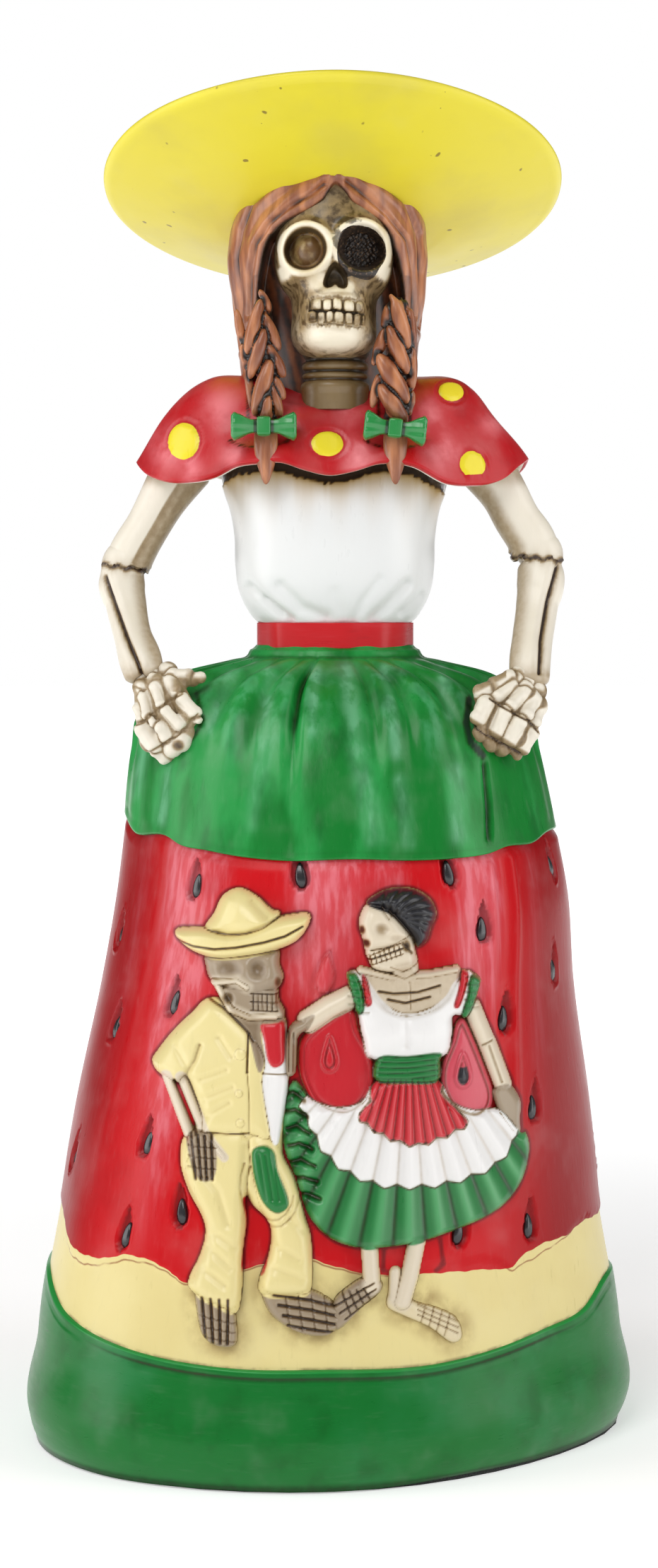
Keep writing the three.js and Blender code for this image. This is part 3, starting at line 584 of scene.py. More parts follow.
man.wash(0.35 * np.clip(man.inside("throat"), 0, 1))
man.swell("tie", 0.5, 0.9, RED)
man.groove(((-13.4, 79.6), (-8.4, 79.4)), 0.18, 0.4, 0.7)
man.rod(((-32.6, 78), (-28, 67.4)), 1.25, 2.6)
man.rod(((-29.6, 78), (-24.6, 67.2)), 1.25, 2.6)
man.groove(((-31, 77.2), (-26.4, 67.6)), 0.35, 0.9, 1.0)
man.rod(((-24.6, 67.8), (-20.8, 63.6)), 0.9, 4.4)
man.raise_to("hand", 4.3, 1.3, AGED_BONE)
man.rake(4, ((-27.4, 67.4, 1.35, 0), (-26.4, 59.2, 1.1, 0)), 0.28, 0.7, 1.1)
man.rake(3, ((-28, 65.4, 0, -2), (-22.4, 65.2, 0, -2)), 0.18, 0.35, 0.6)
man.raise_to("jaw", 3.6, 1.8, AGED_BONE)
man.raise_to("skull", 4.4, 4.0, AGED_BONE)
man.rod(((-22.6, 96.4), (-19.8, 91.6), (-16, 90.2), (-11, 90.6)), 1.0, 4.4, soft=0.6)
man.rod(((-23, 96.6), (-18.6, 97.2), (-16.6, 96)), 0.9, 4.9, soft=0.8)
for hollow in ((-14.3, 99.6, 1.7, 1.9, 1.3, 0.45), (-20.1, 99.4, 2.5, 1.6, 1.0, 0.4),
               (-10.4, 97, 0.6, 1.0, 0.8, 0.7), (-20.4, 93.6, 1.2, 1.2, 0.8, 0.8)):
    man.dent(*hollow)
man.rake(3, ((-15.8, 94.8, 0, -1.6), (-10.4, 94.7, 0, -1.6)), 0.16, 0.4, 0.9)
man.rake(6, ((-15.3, 94.8, 0.92, 0), (-15.2, 91.5, 0.92, 0)), 0.13, 0.35, 0.9)
man.raise_to("crown", 5.2, 5.0, CREAM)
man.height += 0.5 * bell(from_line(((-20.5, 112.6), (-22.6, 108)), man.x, man.z), 1.1) * (man.height > 2)
man.groove(((-15.6, 112.6), (-12.6, 109.4)), 0.8, 0.7, 0.1)
man.raise_to("brim", 5.4, 1.9, CREAM)
man.groove(((-31, 104.3), (-27.5, 103.4), (-23.1, 103.1), (-18.8, 103.6), (-13.2, 104.8), (-9, 106.1),
            (-5.6, 108)), 0.24, 0.8, 1.0)
man.groove(((-24.6, 107), (-20.6, 105.6), (-16.9, 106.2), (-13.3, 107.8), (-10.8, 109.4)), 0.5, 0.5, 0.15)
relief_paint = hand_painted("relief_paint")
man.cast(relief_paint)

woman = Relief("dancing_woman", WOMAN, (-11, 25), (42, 117))
woman.raise_to("left_pocket", 2.0, 2.4, RED)
woman.raise_to("right_pocket", 2.2, 2.4, PINK)
woman.raise_to("left_foot", 2.0, 1.5, AGED_BONE)
woman.raise_to("right_foot", 1.1, 1.6, pigment(222, 206, 168))
for pocket, x, z, line in (("left_pocket", -0.2, 82.6, 0.0), ("right_pocket", 26.3, 78.4, 0.6)):
    rim = woman.inside(pocket)
    woman.height -= 0.55 * step(rim, 0.9, 1.5)
    woman.wash(line * bell(rim - 1.1, 0.3))
    woman.wash(0.4 * bell(rim - 1.1, 0.22))
    drop = woman.inside([(x + across, z + up) for across, up in DROP])
    woman.height += 0.5 * bell(drop - 0.1, 0.3) + 0.5 * step(drop, 0.7, 1.1)
    if line:
        woman.colour(np.minimum(drop - 0.45, z + 1.2 - woman.z), BLACK)
woman.rake(3, ((0.6, 35.4, 1.1, -1.2), (8.4, 39.6, 0.4, -1.2)), 0.2, 0.6, 1.0)
woman.rake(3, ((17, 34.6, 0, -0.9), (25, 30.6, 0, -1.1)), 0.2, 0.4, 0.5)
woman.rake(4, ((2.2, 38, 1.4, 0.2), (3.8, 34, 1.4, 0.6)), 0.2, 0.45, 0.9)
woman.rake(4, ((18.6, 34.6, 1.6, -0.8), (17.4, 30.6, 1.6, -0.8)), 0.2, 0.3, 0.45)
woman.rod(((7.4, 48), (8, 39.2)), 1.7, 2.3, soft=0.5)
woman.rod(((17.2, 48), (15.4, 40), (14, 35.6)), 1.8, 2.3, soft=0.5)
woman.rod(((12.6, 41), (12.4, 36.4)), 1.2, 1.4, soft=0.5)
woman.rod(HER_LEFT_ARM, 2.3, 3.0)
woman.raise_to("left_hand", 3.2, 1.2, AGED_BONE)
woman.rake(2, ((-8.2, 87.4, 0.9, 0), (-8.2, 80, 0.8, 0)), 0.18, 0.45, 0.7)
woman.rod(HER_RIGHT_ARM[:2], 1.9, 2.8)
woman.rod(HER_RIGHT_ARM[1:], 1.9, 2.8)
woman.groove(((31.6, 83.4), (34.2, 76)), 0.3, 0.5, 0.5)
woman.groove(((30.2, 83.6), (32.2, 84.4)), 0.25, 0.5, 0.6)
woman.raise_to("right_hand", 2.6, 1.4, AGED_BONE)
woman.raise_to("skirt", 2.4, 1.6, GREEN)
skirt_depth = woman.inside("skirt")
inside_skirt = skirt_depth > 0
fan = np.arctan2(woman.x - FAN_POINT[0], FAN_POINT[1] - woman.z)
folds, fine = ((0.5 + 0.5 * np.cos(fan * count)) ** 0.8 for count in (PLEATS, FINE_PLEATS))
zigzag = 0.75 * np.abs((fan * PLEATS / (2 * math.pi) % 1) * 2 - 1) - 0.4
white = woman.inside("white_hem") + zigzag
red = woman.inside("red_hem") + zigzag * 0.9
pleated = np.where(red > 0, 0.6 * (fine - 0.5), folds - 0.5) * step(skirt_depth, 0, 1.5)
woman.height += inside_skirt * (pleated + 0.55 * step(white, 0, 0.4) + 0.5 * step(red, 0, 0.4))
woman.colour(np.minimum(white, skirt_depth), CHALK)
woman.colour(np.minimum(red, skirt_depth), RED)
# Painted highlights on the pleats' ridges, in lighter green and lighter red.
for area, light, ridges in ((white <= 0, pigment(112, 196, 132), folds),
                            (red > 0, pigment(232, 96, 104), fine)):
    woman.paint += (light - woman.paint) * (0.42 * ridges**4 * area * inside_skirt)[:, None]
woman.wash(inside_skirt * 0.85 * bell(white + 0.14, 0.16))
woman.wash(inside_skirt * 0.8 * bell(red + 0.14, 0.16))
valley = np.where(red > 0, (1 - fine) ** 5 * 0.6, (1 - folds) ** 6 * np.where(white > 0, 0.3, 0.6))
woman.wash(inside_skirt * valley)
woman.rake(7, ((-9.2, 75.4, 0.35, -3.2), (-7.4, 75.9, 0.4, -3.2), (-5.2, 74.4, 0.5, -3.1)), 0.5, 1.1, 0.75)
woman.wash(0.25 * np.clip(woman.raise_to("chest", 2.6, 1.4, BONE), 0, 1))
woman.groove(((9.4, 95.2), (12.3, 94.7), (17.1, 94.8), (21.6, 95.9)), 0.26, 0.8, 1.0)
woman.groove(((11.2, 93.6), (14.7, 92.8), (19.6, 93.8)), 0.26, 0.8, 1.0)
woman.groove(((15.6, 97), (15.8, 91.6)), 0.2, 0.3, 0.5)
woman.rod(((5.9, 99.3), (11.7, 97.9), (19.6, 98.1), (25, 98.8)), 0.8, 3.3)
bodice = woman.raise_to("blouse", 3.0, 1.4, CHALK) > 0
for bust in (10.6, 19.0):
    woman.height += 1.3 * bell(((woman.x - bust) / 4.6) ** 2 + ((woman.z - 87.6) / 4.0) ** 2, 1, 1.3) * bodice
woman.groove(((14.8, 90), (14.9, 84.6)), 0.9, 0.5, 0.05)
for side in ("left", "right"):
    woman.raise_to(side + "_strap", 3.7, 0.7, RED)
for side in ("left", "right"):
    woman.raise_to(side + "_sleeve", 3.9, 0.8, GREEN)
woman.rake(5, ((3.5, 97.4, 0.05, -1.5), (6.9, 97.2, 0.15, -1.5)), 0.25, 0.3, 0.3)
woman.rake(5, ((26.8, 97.4, -0.05, -1.5), (30.2, 97.2, -0.15, -1.5)), 0.25, 0.3, 0.3)
woman.raise_to("sash", 4.0, 1.0, GREEN)
woman.rake(4, ((8.8, 81.8, 0, -1.05), (15, 81.5, 0, -1.05), (21.4, 81.9, 0, -1.05)), 0.2, 0.35, 0.35)
woman.raise_to("neck", 3.0, 1.4, BONE)
woman.rake(2, ((11.8, 100, 0.1, -1.4), (14.4, 99, 0.2, -1.4), (17.2, 100.4, 0, -1.6)), 0.22, 0.4, 0.5)
woman.raise_to("jaw", 3.8, 1.5, BONE)
woman.raise_to("face", 4.4, 2.6, BONE)
for hollow in ((10.0, 107.4, 1.5, 1.2, 0.8, 0.45), (6.2, 107.2, 0.6, 0.9, 0.7, 1.0),
               (7.0, 104.6, 0.8, 0.8, 0.8, 1.0), (15.0, 104.0, 0.8, 1.2, 0.6, 0.9),
               (12.8, 105.6, 1.6, 0.8, 0.4, 0.25)):
    woman.dent(*hollow)
woman.groove(((7.2, 101.3), (10.4, 102.3), (14.4, 103.6)), 0.2, 0.6, 1.0)
woman.rake(2, ((7.155, 100.05, 0.675, 2.25), (10.055, 101.15, 0.675, 2.25), (14.2, 102.45, 0, 2.25)),
           0.14, 0.3, 0.8)
woman.rake(7, ((7.6, 102.5, 0.95, 0.3), (8.2, 100.4, 0.95, 0.3)), 0.14, 0.35, 0.9)
woman.groove(((14.2, 104.4), (16, 102.6)), 0.3, 0.7, 0.9)
woman.raise_to("hair", 4.9, 3.0, BLACK)
for turn in np.arange(8) * 0.36 + 0.344:
    strand = [(13.4 + t * math.cos(turn - t * 0.12), 108.4 + t * math.sin(turn - t * 0.12) * 0.8)
              for t in (2.2, 4.2, 6.2, 8.2)]
    woman.groove(strand, 0.3, 0.55, 0.2)
woman.cast(relief_paint)

# The red and cream skirt
# The bell of the dress is painted as a watermelon slice: red flesh, and a cream band below it.
# The red lies a little proud of the cream, with a brush-painted border that wanders off the step.
# Seeds sit in pressed, pointed hollows, darkened as painted shade. A dark line round the dancers
# is partly brushed paint and partly painted shade under the relief's undercut edges. Painted pink
# highlights streak the red, its turning sides are darkened as painted shade, and a thin painted
# shadow runs under its step.

RIND_TOP = (
    (-120, 33), (-95, 33.8), (-69.1, 33.6), (-52.9, 29.1), (-37, 26), (-25.2, 24.4), (-7.5, 23.2),
    (5.2, 23.2), (29, 22.8), (41.3, 23.9), (54, 25.7), (66.2, 27.3), (75, 30.8), (95, 31.6), (130, 30.5),
    (180, 31.5),
)
RED_FOOT = (
    (-150, 45.2), (-120, 47.4), (-92, 46.4), (-65.6, 46.1), (-57.6, 42.4), (-48.7, 41.1), (-40.5, 41.7),
    (-36.3, 42.8), (-32.5, 42.8), (-26.9, 41.7), (-20.7, 38.9), (-11.4, 41.4), (3.2, 44.1), (7.5, 42.8),
    (12.5, 41.4), (23, 40.2), (30.7, 39.9), (40.6, 39.4), (46.9, 39.2), (48.9, 40.5), (54.2, 42.1),
    (65.1, 42.9), (69.8, 44), (79.3, 44), (110, 45.8), (140, 43.6), (175, 45.6),
)
RED_STEP = (
    (-180, 0), (-70, -0.2), (-62, -1.0), (-50, -1.6), (-42, -1.0), (-34, -0.8), (-24, -0.2), (12, 0),
    (22, 0.4), (28, 1.6), (38, 2.1), (44, 1.4), (47, -0.6), (52, -1.7), (58, -1.1), (64, 0.1), (90, 0),
)
HEM_LINE = (
    (-150, 126), (-110, 127.6), (-79.1, 127), (-67.5, 124.3), (-49.7, 124.2), (-45.2, 122.9),
    (-36.3, 122.1), (-26, 121.1), (-13.8, 120.5), (3.1, 120.9), (17.9, 120.5), (30.6, 120.7),
    (41.3, 121.4), (46.2, 122.3), (59.3, 122.7), (67.9, 124.2), (83.3, 124.7), (120, 126.4), (160, 124.8),
)
SEEDS = (
    (-38.8, 115.1, 0.05), (-10.2, 117.9, -0.1), (28, 118, -0.1), (70.6, 117.6, -0.2), (-69.9, 103.4, 0.1),
    (-60.3, 85.4, 0.1), (-39, 92, 0.0), (37.3, 106.5, -0.05), (66.4, 96.4, 0.0), (45.1, 88.4, 0.05),
    (-36.7, 64.6, 0.0), (-67.7, 58, 0.2), (-24.6, 52.4, -0.2), (-37.5, 46.7, 0.05), (34.3, 47.7, 0.05),
    (52.3, 46.6, 0.0), (54.1, 69.8, 0.05), (-104, 110, 0.1), (-128, 98, 0.0), (-150, 114, -0.1),
    (172, 99, 0.0), (148, 112, 0.1), (126, 96, 0.0), (100, 108, -0.1), (-98, 78, 0.0), (-122, 63, 0.1),
    (-146, 82, 0.0), (170, 66, -0.1), (147, 81, 0.0), (118, 64, 0.0), (96, 82, 0.1), (90, 56, 0.0),
)
SEED_PRESS = (1.9, 4.3)
EMBOSSED_DROPS = ((-1.6, 98.8), (4.7, 81.1))
FIELD_RIDGES = ((40, 1.6, 0.55), (48, 1.5, 0.5), (44, 2.2, -0.35), (-35, 4.5, 0.3), (-52, 2.5, 0.25))

# Painted highlights, pink streaks on the red: the angle, how wide, from and up to which height, and how
# strongly.
PINK_HIGHLIGHTS = (
    (-41, 4, 78, 96, 1.0), (-47, 3, 104, 116, 0.9), (-33, 5, 48, 76, 0.8), (-8, 5, 98, 110, 1.0),
    (1, 6, 84, 98, 0.7), (12, 5, 104, 116, 0.6), (34, 5, 70, 100, 1.0), (41, 3, 90, 112, 0.8),
    (57, 4, 60, 90, 0.5), (-60, 4, 66, 100, 0.5),
)
PANELS = (((-3.8, 46.8), (-3.6, 41.2), (6.6, 41.0)), ((10.4, 46.6), (10.2, 41.2), (12.6, 40.6)),
          ((21.4, 47.4), (22.2, 41.4), (20.6, 40.4)))
OPEN_CLOTH = ((15.5, 41), (18.5, 37))


def around(edge, degrees):
    """Heights on a smooth edge that runs all the way round."""
    turns = [np.array(edge) + (turn, 0) for turn in (-360, 0, 360)]
    return smooth_through(np.concatenate(turns), degrees)[0]


def barrel(name, columns, levels):
    """A closed barrel of points, with each one's turn from the front and share of the way up."""
    bm = bmesh.new()
    bmesh.ops.create_grid(bm, x_segments=columns, y_segments=levels, size=0.5)
    seam = [[vert for vert in bm.verts if vert.co.x * side > 0.4999] for side in (-1, 1)]
    bmesh.ops.weld_verts(bm, targetmap=dict(zip(*seam)))
    for vert in bm.verts:
        turn = vert.co.x * 2 * math.pi
        vert.co = (math.sin(turn), -math.cos(turn), vert.co.y + 0.5)
    bmesh.ops.holes_fill(bm, edges=[edge for edge in bm.edges if edge.is_boundary], sides=0)
    bmesh.ops.recalc_face_normals(bm, faces=bm.faces)
    mesh = mesh_of(bm, name)
    x, y, z = points_of(mesh).T
    return mesh, np.arctan2(x, -y), z


def normals_of(mesh):
    return rows_of(mesh.vertices, "normal")


def push(mesh, amount):
    """Moves each point along the surface's normal."""
    move_points(mesh, points_of(mesh) + normals_of(mesh) * amount[:, None])


def turn_from(degrees, middle):
    """The turn from a direction, the short way round."""
    return (degrees - middle + 180) % 360 - 180


def teardrop(across, up, half_width, half_height):
    """1 in the middle of an upright teardrop, and 0 at its outline and outside."""
    lift = np.clip(up / half_height, -1, 1)
    width = half_width * np.sqrt(np.clip(1 - lift**2, 0, 1)) * (1 - 0.6 * lift) * 0.88
    return np.clip(1 - (across / np.maximum(width, 1e-3)) ** 2, 0, 1) * (np.abs(up) < half_height)


mesh, turn, rise = barrel("skirt_field", 540, 132)
angle = turn - 0.42 * np.sin(turn)
degrees = np.degrees(angle)
rind_edge, hem = around(RIND_TOP, degrees), around(HEM_LINE, degrees)
low = rind_edge - 1.2
height = low + (hem + 1.2 - low) * rise
edge = height - around(RED_FOOT, degrees)
edge += 0.1 * np.sin(degrees * 1.1) + 0.05 * np.sin(degrees * 2.3 + 1)
ledge = edge - around(RED_STEP, degrees)
out = -0.35 + 0.42 * step(ledge, -0.25, 0.25) + 0.22 * np.sin(angle * 9 + 0.6) * step(edge, 2, 12)
for ridge, spread, lift in FIELD_RIDGES:
    out += lift * bell(degrees - ridge, spread) * step(edge, 6, 24)
out -= (out + 0.5) * step(height - hem, -2.5, -0.3)
x, y, z = skirt_spot(angle, height, out).T
radius = np.hypot(x, y)
pressed = 0 * out
for seed_degrees, seed_height, lean in SEEDS:
    up = height - seed_height
    across = np.radians(turn_from(degrees, seed_degrees)) * radius - lean * up
    dip = teardrop(across, up - 1.1, *SEED_PRESS)
    rim = teardrop(across, up - 1.1, SEED_PRESS[0] + 0.6, SEED_PRESS[1] + 0.7)
    out += 0.3 * rim * (dip == 0) - 1.25 * dip**0.4
    pressed = np.maximum(pressed, dip)
# A painted highlight round each embossed drop's edge and its ring.
glint = 0 * out
for drop_degrees, drop_height in EMBOSSED_DROPS:
    across = np.radians(degrees - drop_degrees) * radius
    drop, ring = (teardrop(across, height - drop_height, *size) for size in ((1.7, 3.7), (2.7, 4.9)))
    out += 1.1 * np.sqrt(drop) - 0.5 * np.sqrt(ring) * (drop == 0)
    glint = np.maximum(glint, bell(drop - 0.2, 0.2) * (drop > 0) + 0.6 * bell(ring - 0.1, 0.12) * (ring > 0))
move_points(mesh, skirt_spot(angle, height, out))
front = y < 0


def nearest(forms, lines):
    """How far the front's points are from outlines, and from (line, half width) strips."""
    near = np.full(len(front), 60.0)
    seen = x[front], z[front]
    gaps = [-inward(form, *seen) for form in forms] + [from_line(line, *seen) - half for line, half in lines]
    near[front] = np.minimum.reduce(gaps)
    return near


bodies = [MAN[form] for form in ("crown", "brim", "skull", "jaw", "body")]
bodies += [WOMAN[form] for form in ("hair", "face", "jaw", "blouse", "left_pocket", "right_pocket", "skirt",
                                    "right_hand")]
strips = [(HER_LEFT_ARM, 2.2), (HER_RIGHT_ARM, 1.9), *((panel, 0) for panel in PANELS)]
haze = sum(strength * bell(degrees - middle, wide) * step(height, foot - 14, top)
           for middle, wide, foot, top, strength in PINK_HIGHLIGHTS)
# Among these layers is painted light: the pink highlights, shade in the seed hollows and shade on the turning
# sides.
record(mesh, edge=edge, ledge=ledge, closest=nearest(bodies, strips), stain=0, pressed=pressed,
       feet=nearest([form[foot] for form in (MAN, WOMAN) for foot in ("left_foot", "right_foot")], []),
       legs_near=nearest([], [(OPEN_CLOTH, 0)]), haze=np.maximum(haze, glint), foot=height - rind_edge,
       side=step(np.abs(degrees + 1), 38, 66) * (1 - 0.5 * step(np.abs(degrees), 100, 150)))


def melon_paint(finish):
    """Red above the painted border and cream below, with brown round the feet, painted highlights and shade
    on the red, and a painted shadow under its step.
    """
    wobble = (finish.noise(200) - 0.5) * 0.5
    shine = finish.layer("haze") * (0.5 + finish.strokes((700, 700, 26)).between(0.4, 0.7) * 0.5)
    line = 1 - (finish.layer("closest") + wobble * 1.2).between(0.1, 0.75)
    red = finish.coats(
        pigment(200, 12, 22),
        # Painted highlights: long pink streaks on the red, and glints on the embossed drops.
        (pigment(232, 134, 146), shine.between(0.0, 1.0) * 0.74),
        (pigment(178, 8, 16), finish.noise(60, 3.0).between(0.5, 0.75) * 0.6),
        # Painted shade in the seed hollows.
        (pigment(96, 10, 14), finish.layer("pressed").between(0.02, 0.4) * 0.55),
        # Painted shade: darker on the skirt's turning sides, less so round the back.
        (pigment(134, 3, 8), finish.layer("side") * 0.85),
        # A dark line round the dancers: partly brushed paint, partly painted shade at the relief's undercut
        # edges.
        (pigment(78, 6, 12), line * 0.7),
    )
    patch = finish.noise(240, 4.0)
    soil = (1 - finish.layer("feet").between(0.0, 4.2)) * patch.between(0.25, 0.7)
    soil = soil + (1 - finish.layer("legs_near").between(0.5, 5.0)) * 0.6 * patch.between(0.3, 0.7)
    # Patchy brown on the cream just above the rind's ledge.
    dark_above_rind = (1 - finish.layer("foot").between(0.1, 0.9)) * patch.between(0.35, 0.6)
    # Painted shadow: a thin brown line just under the red's step.
    ledge_shadow = finish.layer("ledge").between(-0.6, -0.3) * (1 - finish.layer("ledge").between(-0.25, 0.05))
    cream = finish.coats(
        CREAM,
        (pigment(226, 208, 142), finish.noise(70, 3.0).between(0.4, 0.7) * 0.6),
        (pigment(150, 118, 70), soil * 0.6),
        (pigment(120, 96, 58), dark_above_rind * 0.7),
        (pigment(150, 84, 50), ledge_shadow * patch.between(0.2, 0.5) * 0.8),
    )
    return finish.mix(cream, red, (finish.layer("edge") + wobble * 0.1).between(-0.08, 0.08))


settle(mesh, hand_painted("melon_paint", coat=0.04, paint=melon_paint, shine=0.18))

# The seeds
# Black teardrops modelled in the hollows, each with a groove down it, painted with glossy black
# with faint grey mottling.

SEED_SIZES = (1.2, 0.95, 2.6)
bm = bmesh.new()
for seed_degrees, seed_height, lean in SEEDS:
    made = bmesh.ops.create_uvsphere(bm, u_segments=16, v_segments=14, radius=1)["verts"]
    across, deep, up = np.array([vert.co for vert in made]).T
    deep = deep * (1 - 0.22 * bell(across, 0.22) * (deep < 0)) * SEED_SIZES[1]
    across = across * (1 - 0.3 * up) * SEED_SIZES[0] + up * SEED_SIZES[2] * lean
    up = up * SEED_SIZES[2]
    turn = math.radians(seed_degrees)
    left, middle, right = skirt_spot(turn + np.array([-0.01, 0, 0.01]), np.full(3, seed_height - 0.5), -1.1)
    side = (right - left) / np.linalg.norm(right - left)
    above = skirt_spot(np.array([turn]), np.array([seed_height + 0.5]), -1.1)[0] - middle
    above /= np.linalg.norm(above)
    inner = np.cross(above, side)
    for vert, spot in zip(made, middle + np.stack([across, deep, up], axis=1) @ (side, inner, above)):
        vert.co = spot
bmesh.ops.recalc_face_normals(bm, faces=bm.faces)
mesh = mesh_of(bm, "melon_seeds")
record(mesh, paint=pigment(24, 24, 28), stain=0)
settle(mesh, hand_painted("seed_black", gloss=0.25, coat=0.7, mottle=0.15, tint=(0.3, 0.3, 0.34)))

# The rind
# The foot of the dress is the melon's dark green rind. It stands out from the cream by a thin
# ledge, and its underside is rubbed back to the casting.

RIND_LIP = 1.76
mesh, turn, rise = barrel("rind", 300, 56)
degrees = np.degrees(turn)
top = around(RIND_TOP, degrees)
lip = np.clip((rise - 0.88) / 0.12, 0, 1) * math.pi / 2
under = np.clip(rise / 0.08, 0, 1)
height = 1.0 + (top - 1.0) * np.clip((rise - 0.08) / 0.8, 0, 1)
line = top - height - 1.5
out = 0.4 + RIND_LIP * (np.cos(lip) - 1) + 0.12 * np.sin(turn * 6 + 1)
out -= 0.28 * bell(line, 0.22) * (np.abs(degrees) < 80)
height += 0.45 * np.sin(lip) - 0.2
squeeze = (1 - step(height, 4, 34)) * step(np.abs(np.sin(turn)), 0.5, 0.9) * (0.5 + 0.5 * step(height, 1, 6))
out -= squeeze * np.where(turn < 0, 1.7, 0.9) + 6 * (1 - under)
sunk = 0.65 - 0.5 * bell(degrees - 38, 15) + 0.1 * np.sin(turn * 9)
height -= sunk * (1 - step(height, 1, 3))
height = np.where(rise < 0.08, 1.0 - sunk * step(under, 0.88, 1.0), height)
move_points(mesh, skirt_spot(turn, height, out))
groove = bell(top - height - 1.5, 0.35) * step(np.cos(turn * 2 - 0.4), -0.6, 0.4)
record(mesh, stain=0.8 * groove + 0.5 * (1 - step(height, 1.1, 2.4)), lip=top - height)


def rind_paint(finish):
    """Brushed dark green, lighter in patches, with a painted highlight along the ledge."""
    return finish.coats(
        pigment(8, 112, 40),
        (pigment(58, 142, 92), finish.noise(38, 4.0).between(0.48, 0.72) * 0.35),
        (pigment(2, 88, 24), finish.noise(120, 4.0).between(0.48, 0.75) * 0.6),
        # Painted highlight along the ledge at the rind's top.
        (pigment(40, 150, 66), (1 - finish.layer("lip").between(0.2, 0.45)) * 0.8),
    )


settle(mesh, hand_painted("rind_paint", coat=0.08, shine=0.25, paint=rind_paint, streaks=(160, 160, 900)))

# The overskirt
# A gathered green overskirt, the melon's rind again, from the waist to a turned hem. Its folds
# fan out from the belt, die away below the hips, and are drawn up to the two hands.

FOLDS = (
    (-52, 3.0, -0.4), (-44, 3.6, 0.5), (-36, 2.6, -0.6), (-29, 4.2, 0.8), (-22, 1.8, -0.7),
    (-16.5, 3.4, 0.6), (-11.5, 1.1, -1.7), (-8, 2.2, 0.5), (-2, 3.8, 0.3), (5, 2.2, -0.35),
    (10.5, 1.6, -0.8), (15, 3.2, 0.6), (20.5, 1.5, -0.7), (27, 4.0, 0.7), (35, 2.2, -0.8), (42, 3.6, 0.6),
    (52, 3.0, -0.6),
)
# Painted highlights down the overskirt's folds: each line and its width.
GREEN_HIGHLIGHTS = (
    (((-12.4, 156.9), (-13.6, 141.6), (-15.9, 127)), 1.3), (((-3, 158), (-3.8, 146)), 1.0),
    (((2.9, 158), (5.8, 141.6), (8.8, 125)), 1.8), (((11.1, 158), (13.4, 141.6)), 1.2),
    (((22.8, 158), (24.4, 149)), 1.2), (((-33.5, 138), (-34.7, 127.5)), 1.6),
    (((-20.6, 157), (-24.6, 146)), 1.4), (((25.2, 138), (25.8, 124.6)), 1.5),
    (((-38, 146), (-41, 132)), 1.4), (((14, 136), (15.4, 124)), 1.3),
)
CREASE = ((31.2, 139.2), (31.9, 131), (32.1, 123.8))

# Painted shadow along each hand, on the cloth that passes behind it.
HAND_SHADOWS = (
    (((28.4, 152), (27.7, 147.5), (28.4, 143.6), (31, 140.8)), 0.65, 1.3),
    (((-27.7, 153.2), (-26.2, 148), (-27.4, 145.4), (-30, 142)), 0.5, 0.8),
)
mesh, turn, rise = barrel("overskirt", 400, 76)
degrees = np.degrees(turn)
hem = around(HEM_LINE, degrees)
tall = hem + (163.0 - hem) * np.interp(rise, (0.1, 0.505, 0.73, 1), (0, 0.62, 0.86, 1))
lip = np.clip(1 - rise / 0.1, 0, 1)
bend = lip * math.pi / 2
x, y, z = skirt_spot(turn, tall - 0.35 * np.sin(bend), 0.45 - 1.8 * (1 - np.cos(bend))).T
move_points(mesh, rows(x, y, z))
front = y < 0
fade = step(tall, 134, 152)
calm = 1 - 0.97 * step(tall, 156, 161.4)
out = 0 * turn
for middle, spread, lift in FOLDS:
    drift = (tall - 150) * 0.003 * middle
    out += lift * bell(degrees - middle + drift, spread * (1.7 - 0.55 * fade)) * (0.3 + fade) * calm
rng = np.random.default_rng(7)
for middle in range(66, 300, 12):
    gap = turn_from(degrees, middle + rng.uniform(-2, 2))
    fold = rng.uniform(-1.1, -0.6) * bell(gap, rng.uniform(2.5, 4)) + 0.6 * bell(gap - 6, 3)
    out += fold * (0.2 + fade) * calm
crease = from_line(CREASE, x, tall)
seam = bell(tall - hem - 1.5, 0.28) * (np.abs(degrees) < 85)
out -= 0.9 * bell(crease, 0.45) * front + 0.25 * seam
out += 0.35 * bell(tall - 161.7, 0.45) - 0.3 * bell(tall - 160.6, 0.5)
out *= step(rise, 0.09, 0.16)
push(mesh, out)
x, y, z = points_of(mesh).T
stain = 0.75 * bell(crease, 0.5) * front + 0.55 * seam + 0.6 * step(lip, 0.1, 0.6)
stain += 0.6 * np.clip(-out - 0.55, 0, 1) * step(tall, 136, 150) + 0.4 * bell(tall - 160.7, 0.35)
for line, wide, dark in HAND_SHADOWS:
    stain = np.maximum(stain, dark * bell(from_line(line, x, z), wide) * (y < 0))
lit = sum(bell(from_line(line, x, z), wide) * (y < 0) for line, wide in GREEN_HIGHLIGHTS)
record(mesh, stain=np.clip(stain, 0, 1.2), ridge=np.clip(out, -1, 1), lit=np.clip(lit, 0, 1), turn=degrees)


def overskirt_paint(finish):
    """Streaky brushed green with brighter dabs, more of them on the left as painted light, and painted
    highlights on the folds.
    """
    # Painted light: more of the lighter dabs towards the left side.
    dab = finish.strokes((110, 110, 34)) + (1 - finish.layer("turn").between(-40, 30)) * 0.12
    brushed = finish.strokes((300, 300, 60)).between(0.42, 0.6)
    return finish.coats(
        pigment(8, 118, 40),
        (pigment(40, 152, 72), dab.between(0.48, 0.7) * 0.8),
        # Painted highlights on the folds' ridges and along long streaks.
        (pigment(104, 184, 138), finish.layer("ridge").between(0.15, 0.75) * brushed * 0.3),
        (pigment(124, 190, 150), finish.layer("lit") * (brushed * 0.6 + 0.4) * 0.55),
        (pigment(4, 88, 30), finish.strokes((160, 160, 60), detail=3.0).between(0.5, 0.75) * 0.6),
    )


settle(mesh, hand_painted("overskirt_paint", coat=0.08, shine=0.25, paint=overskirt_paint,
                          wash=pigment(10, 42, 20)))

